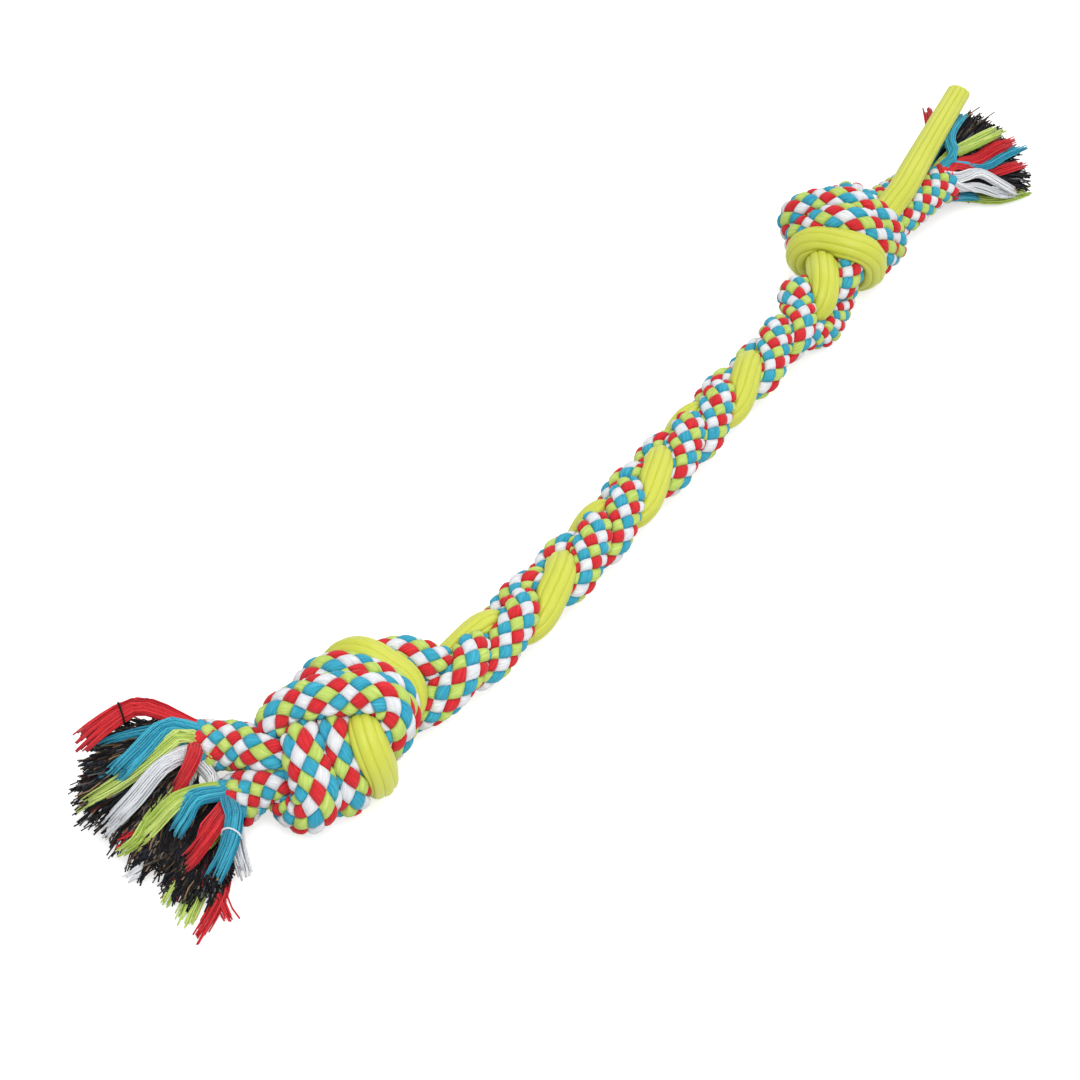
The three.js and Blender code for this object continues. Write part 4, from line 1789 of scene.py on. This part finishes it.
@dataclass
class Tassel:
    """A rope's frayed end: the cover's loose carriers over a fan of dark core yarn.

    Attributes:
        line: The rope.
        end: The rope's end.
        hanks: The loose carriers.
        core: The fan of core yarn.
        threads: Single threads that lie over the hanks.
        finishes: The toy's materials.
        seed: Start of the random draws.
        steps: Points along a yarn.
        floor: Height of the lowest yarns over the floor.
        rumple: Unevenness of yarns on the floor, in radii, and how fast it changes each way.
        yarn_radius: Radius of a yarn or a ply.
        taper: Shares of that radius at a yarn's start and tip.
        thickness: Least and most of it from yarn to yarn.
        yarn_spread: Spread of the yarns' shade.
        wave_speed: Least and most waves along a yarn, in radians.
        wave_growth: Power with which waves grow towards the tips.
        ripple: Strength and speed of a second wave against the first.
        hank_lay: How the loose carriers lie.
        core_lay: How the core lies.
    """

    line: Line
    end: End
    hanks: tuple[Hank, ...]
    core: CoreFan
    threads: tuple[Thread, ...]
    finishes: Finishes
    seed: int
    steps: int = 11
    floor: float = 0.35
    rumple: Point = (0.25, 9.0, 5.0)
    yarn_radius: float = 0.36
    taper: Pair = (1.0, 0.8)
    thickness: Pair = (0.85, 1.15)
    yarn_spread: float = 0.28
    wave_speed: Pair = (3.0, 8.0)
    wave_growth: float = 1.5
    ripple: Pair = (0.5, 2.0)
    hank_lay: HankLay = HankLay()
    core_lay: CoreLay = CoreLay()
    END_STEPS = 11  # steps of the line that the way out of its end is taken from
    # Colours of the core's yarns, and the share of the yarns that have each
    DYES = np.array([
        [0.012, 0.012, 0.013], [0.018, 0.018, 0.021], [0.03, 0.029, 0.03], [0.02, 0.023, 0.035],
        [0.09, 0.055, 0.03], [0.26, 0.17, 0.10], [0.13, 0.13, 0.13], [0.12, 0.016, 0.02],
    ])
    SHARES = np.array([0.32, 0.22, 0.15, 0.1, 0.06, 0.05, 0.06, 0.04])

    def __post_init__(self) -> None:
        """Finds the rope's end, the way out of it, and the directions across it."""
        self.rng = np.random.default_rng(self.seed)
        p = self.line.p[::-1] if self.end is End.NEAR else self.line.p
        self.tip = p[-1]
        self.along = unit(p[-1] - p[-1 - self.END_STEPS])
        self.right = unit(np.cross(self.along, UP))
        self.over = np.cross(self.right, self.along)

    def rim(self, angle: float) -> Array:
        """Gives the direction from the rope's middle to a place on its rim."""
        return self.right * math.cos(angle) + self.over * math.sin(angle)

    def waves(self, count: int, at: Array) -> Array:
        """Gives slow waves that grow towards the tips.

        Args:
            count: Number of yarns.
            at: Shares of each yarn's length.

        Returns:
            Heights by yarn and step.
        """
        phase = self.rng.random((2, count, 1)) * 2 * math.pi
        speed = self.rng.uniform(*self.wave_speed, (2, count, 1))
        strength, faster = self.ripple
        ripple = strength * np.sin(faster * speed[1] * at + phase[1])
        return at**self.wave_growth * (np.sin(speed[0] * at + phase[0]) + ripple)

    def grounded(self, paths: Array) -> Array:
        """Keeps yarns above the floor, with a little unevenness where they lie on it.

        Args:
            paths: Points by yarn and step.

        Returns:
            The same points, lifted.
        """
        low = self.floor + self.yarn_radius
        high, by_x, by_y = self.rumple
        uneven = high * self.yarn_radius * (1 + np.sin(by_x * paths[..., 0] + by_y * paths[..., 1]))
        paths[..., 2] = np.where(paths[..., 2] < low, low + uneven, paths[..., 2])
        return paths

    def hank_paths(self, hank: Hank) -> Array:
        """Lays the yarns of one loose carrier side by side, in locks towards the tip.

        Args:
            hank: The carrier.

        Returns:
            Points by yarn and step.
        """
        rng, count, lay = self.rng, hank.count, self.hank_lay
        way = np.array(hank.way, float) + SHIFT
        d = way[0] - self.tip
        angle = math.atan2(float(d @ self.over), float(d @ self.right))
        hand = 1 if hank.yarn in (Yarn.RED, Yarn.BLUE) else -1
        r = self.line.size.diameter / 2
        start = self.tip + self.rim(angle - hand * lay.helix) * (r - lay.sunk) - self.along * lay.inside
        lip = self.tip + self.rim(angle) * (r - lay.lip) + self.along * lay.lip_out
        curve = Curve(np.vstack([start, lip, way[1:]]))
        x, y = packed(count)
        lock_x, lock_y = packed(max(lay.locks[0], count // lay.locks[1]))
        lock = np.argmin((x[:, None] - lock_x) ** 2 + (y[:, None] - lock_y) ** 2, axis=1)
        reach = 1 - lay.ragged[0] * rng.random(count) - lay.ragged[1] * rng.random(len(lock_x))[lock]
        at = np.outer(reach, np.linspace(0, 1, self.steps))
        middle = curve.point_at(at.ravel()).reshape(count, self.steps, 3)
        tangent = curve.tangent_at(at.ravel()).reshape(count, self.steps, 3)
        flat = unit(np.cross(tangent, UP))
        rimwise = self.over * math.cos(angle) - self.right * math.sin(angle)
        rimwise = rimwise * (1 if rimwise @ flat[0, 0] > 0 else -1)
        free = eased(at, *lay.flattened)[..., None]
        wide = rimwise * (1 - free) + flat * free
        wide = unit(wide - tangent * np.sum(wide * tangent, -1, keepdims=True))
        high = np.cross(wide, tangent)
        gather = lay.gather * eased(at, *lay.gathered)
        x = x[:, None] + (lay.lock_spread * lock_x[lock] - x)[:, None] * gather
        y = y[:, None] + (lay.lock_spread * lock_y[lock] - y)[:, None] * gather
        w = lay.root[0] + (hank.wide - lay.root[0]) * at**lay.widening
        kept = 1 - lay.thin * eased(at, *lay.thinned)
        h = lay.root[1] + (lay.deep - lay.root[1]) * eased(at, *lay.raised) * kept
        loose = np.where(rng.random((count, 1)) < lay.strays, *lay.waves)
        across = x * w + self.waves(count, at) * loose
        upward = y * h + self.waves(count, at) * loose * lay.upward
        return self.grounded(middle + wide * across[..., None] + high * upward[..., None])

    def core_paths(self) -> Array:
        """Lays the core's yarns in a fan, each of a few plies that part at its cut end.

        Returns:
            Points by ply and step.
        """
        rng, count, lay = self.rng, self.core.count, self.core_lay
        low, high = (Curve(np.array(line, float) + SHIFT) for line in (self.core.low, self.core.high))
        h = rng.random((count, 1))
        u = rng.random(count)
        tip = low.point_at(u) * (1 - h) + high.point_at(u) * h
        off = tip - tip.mean(0)
        spot = np.stack([off @ self.right, off @ self.over], -1)
        spot = spot / np.maximum(np.linalg.norm(spot, axis=1, keepdims=True) / lay.room, lay.closer)
        off = spot[:, :1] * self.right + spot[:, 1:] * self.over
        far = np.linalg.norm(tip - self.tip, axis=1, keepdims=True)
        points = (
            self.tip - self.along * lay.inside + off,
            self.tip + self.along * lay.straight * far + lay.opened * off,
            tip + (self.tip - tip) * lay.last + UP * lay.arch * far,
            tip,
        )
        reach = 1 - lay.ragged * rng.random(count)
        reach = np.where(rng.random(count) < lay.short, reach * rng.uniform(*lay.cut, count), reach)
        t = np.outer(reach, np.linspace(0, 1, self.steps))
        weights = ((1 - t) ** 3, 3 * t * (1 - t) ** 2, 3 * t**2 * (1 - t), t**3)
        middle = sum(w[..., None] * p[:, None] for w, p in zip(weights, points))
        middle = np.repeat(middle, lay.plies, 0)
        n = len(middle)
        tangent = unit(np.gradient(middle, axis=1))
        side = unit(np.cross(tangent, UP + lay.tilt * self.along))
        above = np.cross(side, tangent)
        run = np.linspace(0, 1, self.steps)[None, :] * np.repeat(far * reach[:, None], lay.plies, 0)
        turned = lay.twist * run + 2 * math.pi * np.arange(n)[:, None] / lay.plies
        end = eased(np.linspace(0, 1, self.steps), *lay.parted)[None, :]
        wide = self.yarn_radius * (1 + end * rng.uniform(*lay.parting, (n, 1)))
        across = np.cos(turned) * wide + self.waves(n, t.repeat(lay.plies, 0)) * lay.wave
        upward = np.sin(turned) * wide + self.waves(n, t.repeat(lay.plies, 0)) * lay.wave
        drawn = end * rng.uniform(*lay.uneven, (n, 1))
        placed = middle + side * across[..., None] + above * upward[..., None] + tangent * drawn[..., None]
        return self.grounded(placed)

    def thread_paths(self, yarn: Yarn) -> list[Array]:
        """Lays the single threads of one colour.

        Args:
            yarn: The colour.

        Returns:
            Points by step, for each thread.
        """
        share = np.linspace(0, 1, self.steps)
        ways = [np.array(t.way, float) + SHIFT for t in self.threads if t.yarn is yarn]
        return [Curve(way).point_at(share)[None] for way in ways]

    def build(self) -> list[bpy.types.Object]:
        """Makes the frayed end's pieces: one for each yarn colour, and the core.

        Returns:
            The pieces.
        """
        name = f"{self.line.size.name}_{self.end.value}"
        body = f"{self.end.value}_{self.line.size.name}_tail"
        made = []
        for yarn in Yarn:
            is_core = yarn is Yarn.CORE
            hanks = [hank for hank in self.hanks if hank.yarn is yarn]
            laid = [self.core_paths()] if is_core else [self.hank_paths(hank) for hank in hanks]
            loose = self.thread_paths(yarn)
            paths = np.concatenate(laid + loose)
            thick = self.rng.uniform(*self.thickness, (len(paths), 1))
            taper = np.linspace(*self.taper, self.steps)[None, :] * thick
            verts, faces, uv = yarn_tubes(paths, self.yarn_radius * taper)
            piece = new_piece(f"{name}_{yarn.value}_yarn", verts, faces, [self.finishes.cotton[yarn]])
            set_uv(piece, uv)
            each = len(verts) // len(paths)
            shade = self.rng.normal(0, self.yarn_spread, len(paths))
            set_point_values(piece, "shade", np.repeat(shade, each))
            if is_core:
                picked = self.rng.choice(len(self.DYES), len(paths) - len(loose), p=self.SHARES)
                dyes = [*picked, *(t.dye for t in self.threads if t.yarn is yarn)]
                set_point_colours(piece, "yarn_colour", np.repeat(self.DYES[dyes], each, 0))
            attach(piece, body)
            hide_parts(f"{name}_{yarn.value}")
            made.append(piece)
        return made


# Studio


@dataclass
class Studio:
    """The pale floor, the soft light and the camera at the photograph's angle.

    Attributes:
        lens: Focal length of the camera.
        sensor: Width of its film.
        nearest: Where its view starts, in metres.
        elevation: Its height above the floor, in degrees.
        turn: How far it is turned about the toy, in degrees.
        distance: Its distance from the point that it aims at.
        aim_right: That point's place to the right.
        aim_depth: That point's place away from the camera.
        floor_size: Width of the floor, in metres.
        floor_grey: How light the floor is.
        floor_glow: Light that the floor gives to the camera alone.
        sky: Light of the world on the toy.
        sky_seen: Light of the world to the camera.
    """

    lens: float = 80.0
    sensor: float = 36.0
    nearest: float = 0.01
    elevation: float = 40.0
    turn: float = 45.8
    distance: float = 837.0
    aim_right: float = -31.4
    aim_depth: float = -46.3
    floor_size: float = 12.0
    floor_grey: float = 0.74
    floor_glow: float = 0.6
    sky: float = 0.55
    sky_seen: float = 1.0
    # Name, place, width and power of each lamp
    LAMPS = (("key", (-0.55, -0.75, 1.3), 1.1, 16.0), ("fill", (0.9, 0.2, 1.0), 1.2, 5.0))

    def camera(self) -> None:
        """Places the camera."""
        a, e = math.radians(self.turn), math.radians(self.elevation)
        right = np.array([math.cos(a), -math.sin(a), 0])
        depth = np.array([math.sin(a), math.cos(a), 0])
        back = UP * math.sin(e) - depth * math.cos(e)
        aim = right * self.aim_right + depth * self.aim_depth + SHIFT
        data = bpy.data.cameras.new("camera")
        data.lens = self.lens
        data.sensor_width = self.sensor
        data.clip_start = self.nearest
        shown = bpy.data.objects.new("camera", data)
        up = np.cross(back, right)
        turned = Matrix([Vector(v) for v in (right, up, back)]).transposed().to_4x4()
        shown.matrix_world = Matrix.Translation(Vector((aim + back * self.distance) * MM)) @ turned
        bpy.context.scene.collection.objects.link(shown)
        bpy.context.scene.camera = shown

    def floor(self) -> None:
        """Makes the floor, which keeps the toy's shadow and is white to the camera."""
        bpy.ops.object.select_all(action="DESELECT")
        bpy.ops.mesh.primitive_plane_add(size=self.floor_size)
        floor = bpy.context.object
        floor.name = "floor"
        material, graph = Graph.of_material("pale_floor")
        graph.tree.nodes.clear()
        grey = (self.floor_grey, self.floor_grey, self.floor_grey, 1)
        matt = graph.add("ShaderNodeBsdfDiffuse", {"Color": grey}).outputs[0]
        strength = graph.math("MULTIPLY", self.seen(graph), self.floor_glow)
        glow = graph.add("ShaderNodeEmission", {"Strength": strength}).outputs[0]
        both = graph.add("ShaderNodeAddShader", {0: matt, 1: glow}).outputs[0]
        graph.add("ShaderNodeOutputMaterial", {"Surface": both})
        floor.data.materials.append(material)

    @staticmethod
    def seen(graph: Graph) -> bpy.types.NodeSocket:
        """Joins the camera's, glossy and transmission rays into one mask.

        Args:
            graph: The graph to put it in.

        Returns:
            The mask.
        """
        rays = graph.add("ShaderNodeLightPath", {}).outputs
        first = graph.math("MAXIMUM", rays["Is Camera Ray"], rays["Is Glossy Ray"])
        return graph.math("MAXIMUM", first, rays["Is Transmission Ray"])

    def light(self) -> None:
        """Sets the world and the soft lamps."""
        world = bpy.data.worlds.new("studio")
        bpy.context.scene.world = world
        world.use_nodes = True
        graph = Graph(world.node_tree)
        strength = graph.add("ShaderNodeMapRange", {
            "Value": self.seen(graph), "To Min": self.sky, "To Max": self.sky_seen,
        })
        graph.put(world.node_tree.nodes["Background"], {
            "Color": (1, 1, 1, 1), "Strength": strength.outputs["Result"],
        })
        for name, place, size, watts in self.LAMPS:
            self.lamp(name, place, size, watts)

    @staticmethod
    def lamp(name: str, place: Point, size: float, watts: float) -> None:
        """Adds one square soft lamp that shines at the toy.

        Args:
            name: Its name.
            place: Its place, in metres.
            size: Its width, in metres.
            watts: Its power.
        """
        data = bpy.data.lights.new(name, "AREA")
        data.shape = "SQUARE"
        data.size = size
        data.energy = watts
        lamp = bpy.data.objects.new(name, data)
        lamp.location = place
        lamp.rotation_euler = (-Vector(place)).to_track_quat("-Z", "Y").to_euler()
        bpy.context.scene.collection.objects.link(lamp)

    def build(self) -> None:
        """Makes the floor and the lights."""
        self.floor()
        self.light()
        bpy.context.scene.view_settings.view_transform = "Standard"


FIRST_SEED = 11
TASSELS = {
    ("rope_b", End.NEAR): (
        (
            Hank(Yarn.RED, ((-216, -13, 30), (-221, 0, 28), (-230, 4, 25), (-241, 8, 18)), 5.0),
            Hank(Yarn.BLUE, ((-215, -19, 30), (-221, -14, 29), (-232, -14, 26), (-243, -11, 18)), 4.4),
            Hank(
                Yarn.LIME,
                ((-216, -26, 30), (-220, -20, 29), (-229, -18, 25), (-240, -13, 18), (-252, -4, 9)),
                3.2,
            ),
            Hank(Yarn.WHITE, ((-224, -26, 27), (-230, -23, 25), (-242, -22, 18), (-253, -18, 8)), 3.8),
            Hank(Yarn.RED, ((-219, -28, 29), (-222, -28, 28), (-226, -29, 24), (-231, -27, 15)), 2.8),
            Hank(Yarn.BLUE, ((-218, -18, 26), (-231, -14, 21), (-244, -1, 12)), 1.8),
            Hank(Yarn.BLUE, ((-223, -5, 24), (-231, 1, 20), (-239, 9, 13)), 1.6),
            Hank(Yarn.LIME, ((-237, -24, 10), (-241, -27, 12), (-248, -29, 10), (-256, -26, 7)), 2.2),
            Hank(Yarn.WHITE, ((-233, -30, 10), (-240, -32, 6), (-249, -35, 5), (-257, -33, 3)), 2.0),
            Hank(Yarn.WHITE, ((-216, -30, 22), (-219, -31, 17), (-222, -33, 11)), 2.2),
            Hank(Yarn.RED, ((-234, -30, 12), (-240, -26, 9), (-247, -25, 9), (-253, -23, 8)), 2.2),
        ),
        CoreFan(
            (
                (-233, 13, 8), (-242, 12, 4), (-250, 4, 2), (-254, -10, 2), (-255, -23, 2), (-254, -38, 2),
                (-248, -46, 2), (-236, -42, 2), (-227, -34, 4),
            ),
            (
                (-222, 4, 28), (-231, 5, 24), (-242, 2, 18), (-250, -2, 15), (-252, -12, 12), (-250, -21, 10),
                (-248, -34, 9), (-244, -41, 8), (-234, -37, 10), (-226, -31, 14),
            ),
            340,
        ),
        (
            Thread(
                Yarn.CORE,
                (
                    (-224.3, 6.3, 25.8), (-224.6, 5.4, 28.2), (-226, 2.5, 29.2), (-227.4, -0.6, 28.4),
                    (-227.6, -1.2, 26),
                ),
            ),
        ),
    ),
    ("rope_a", End.NEAR): (
        (
            Hank(Yarn.LIME, ((-224, -30, 21), (-233, -32, 19), (-240, -30, 14), (-248, -27, 7)), 4.2),
            Hank(Yarn.BLUE, ((-223, -36, 21), (-230, -36, 20), (-234, -36, 16), (-239, -35, 10)), 4.4),
            Hank(Yarn.RED, ((-226, -43, 20), (-233, -47, 17), (-238, -46, 11), (-244, -43, 5)), 4.2),
            Hank(Yarn.BLUE, ((-221, -41, 21), (-225, -49, 19), (-231, -53, 14), (-242, -55, 4)), 3.4),
            Hank(Yarn.WHITE, ((-225, -50, 15), (-228, -53, 10), (-231, -60, 3)), 2.8, 0.8),
            Hank(Yarn.RED, ((-217, -36, 0), (-228, -47, 3), (-240, -58, 2), (-259, -67, 1)), 2.6, 0.7),
            Hank(Yarn.RED, ((-217, -36, 0), (-228, -48, 3), (-241, -60, 2), (-245, -72, 1)), 1.6, 0.7),
            Hank(Yarn.LIME, ((-217, -36, 0), (-229, -44, 3), (-244, -52, 2), (-257, -59, 1)), 4.5, 0.5),
            Hank(Yarn.LIME, ((-237, -44, 8), (-245, -46, 5), (-255, -49, 2)), 1.6, 0.8),
        ),
        CoreFan(
            ((-253, -30, 2), (-255, -43, 2), (-253, -53, 2), (-248, -60, 2), (-240, -60, 2), (-231, -54, 2)),
            ((-252, -31, 9), (-250, -41, 8), (-247, -49, 7), (-243, -56, 7), (-236, -57, 8), (-229, -54, 8)),
            280,
        ),
        (
            Thread(
                Yarn.WHITE,
                (
                    (-231, -49.2, 14.5), (-230.6, -49.9, 17.5), (-229.4, -52, 18.8), (-228.2, -54, 17.6),
                    (-227.6, -54.8, 15),
                ),
            ),
        ),
    ),
    ("rope_a", End.FAR): (
        (
            Hank(Yarn.LIME, ((214, 26, 22), (221, 23, 22), (233, 19, 25), (253, 18, 24)), 3.9),
            Hank(Yarn.BLUE, ((217, 20, 24), (217, 18, 26), (221, 24, 30), (243, 32, 31)), 2.6),
            Hank(Yarn.RED, ((217, 22, 22), (230, 16, 19), (241, 15, 20), (254, 12, 21)), 4.2),
            Hank(Yarn.BLUE, ((217, 19, 22), (233, 13, 16), (244, 12, 17), (259, 10, 17)), 3.2),
            Hank(Yarn.RED, ((217, 17, 20), (234, 11, 13), (242, 8, 13), (255, 6, 12)), 3.2),
            Hank(Yarn.WHITE, ((217, 12, 20), (223, 9, 19), (231, 4, 13), (238, -2, 7)), 2.4),
            Hank(Yarn.WHITE, ((217, 12, 16), (222, 8, 13), (231, 3, 8), (240, -2, 6)), 2.2),
            Hank(Yarn.BLUE, ((217, 13, 8), (222, 12, 7), (230, 11, 3)), 2.4),
            Hank(Yarn.LIME, ((217, 16, 5), (226, 13, 4), (234, 5, 3), (252, -1, 3)), 2.8),
            Hank(Yarn.RED, ((217, 13, 10), (222, 14, 6), (226, 12, 2)), 1.8),
        ),
        CoreFan(
            (
                (247, -2, 2), (250, 4, 4), (253, 12, 8), (254, 19, 12), (253, 26, 14), (250, 32, 16),
                (246, 36, 18),
            ),
            (
                (251, -2, 7), (254, 4, 9), (256, 10, 13), (256, 18, 19), (254, 24, 26), (254, 30, 28),
                (247, 34, 29),
            ),
            250,
        ),
        (
            Thread(Yarn.CORE, ((226, 24, 20), (236, 28, 24), (244, 31, 28), (252, 31, 29)), 5),
            Thread(Yarn.CORE, ((226, 24, 19), (235, 27, 22), (246, 26, 26), (256, 26, 27)), 4),
        ),
    ),
    ("rope_b", End.FAR): (
        (
            Hank(Yarn.BLUE, ((223, 31, 18), (230, 34, 21), (245, 38, 21)), 3.0),
            Hank(Yarn.LIME, ((220, 36, 20), (234, 41, 20), (250, 43, 18)), 3.4),
            Hank(Yarn.RED, ((222, 40, 18), (230, 37, 16), (241, 46, 18), (254, 58, 19)), 3.2),
            Hank(Yarn.WHITE, ((218, 44, 10), (232, 46, 8), (248, 52, 4)), 3.2),
        ),
        CoreFan(
            ((252, 26, 2), (253, 36, 2), (252, 46, 2), (248, 54, 2)),
            ((255, 24, 25), (254, 30, 27), (252, 36, 25), (250, 44, 20)),
        ),
        (),
    ),
}


def main() -> None:
    """Builds the toy on its frame, in order, and reports each piece."""
    logging.basicConfig(level=logging.INFO, format="%(name)s: %(message)s")
    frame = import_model()
    studio = Studio()
    studio.camera()
    routes = Routes()
    lines = [Line(size, points, routes) for size, points in zip(STRANDS, routes.settled())]
    for line in lines:
        line.give_way([o for o in lines if o is not line])
        LOG.info("%s is %.0f mm long", line.size.name, line.length)
    by_name = {line.size.name: line for line in lines}
    finishes = Finishes.build()
    bends = Bends({j["name"]: j for j in frame["joints"]})
    made = []
    for line in lines:
        crossed = bends.of(line, routes)
        seams = bends.seams(line, crossed)
        rubber = line.size.name == "rubber"
        strand = RubberStrand(line, finishes.rubber) if rubber else RopeCover(line, finishes)
        made += strand.build(crossed, seams)
    for seed, ((name, end), loose) in enumerate(TASSELS.items(), FIRST_SEED):
        made += Tassel(by_name[name], end, *loose, finishes, seed).build()
    studio.build()
    for piece in made:
        LOG.info("%s: %d faces", piece.name, len(piece.data.polygons))


if __name__ == "__main__":
    main()
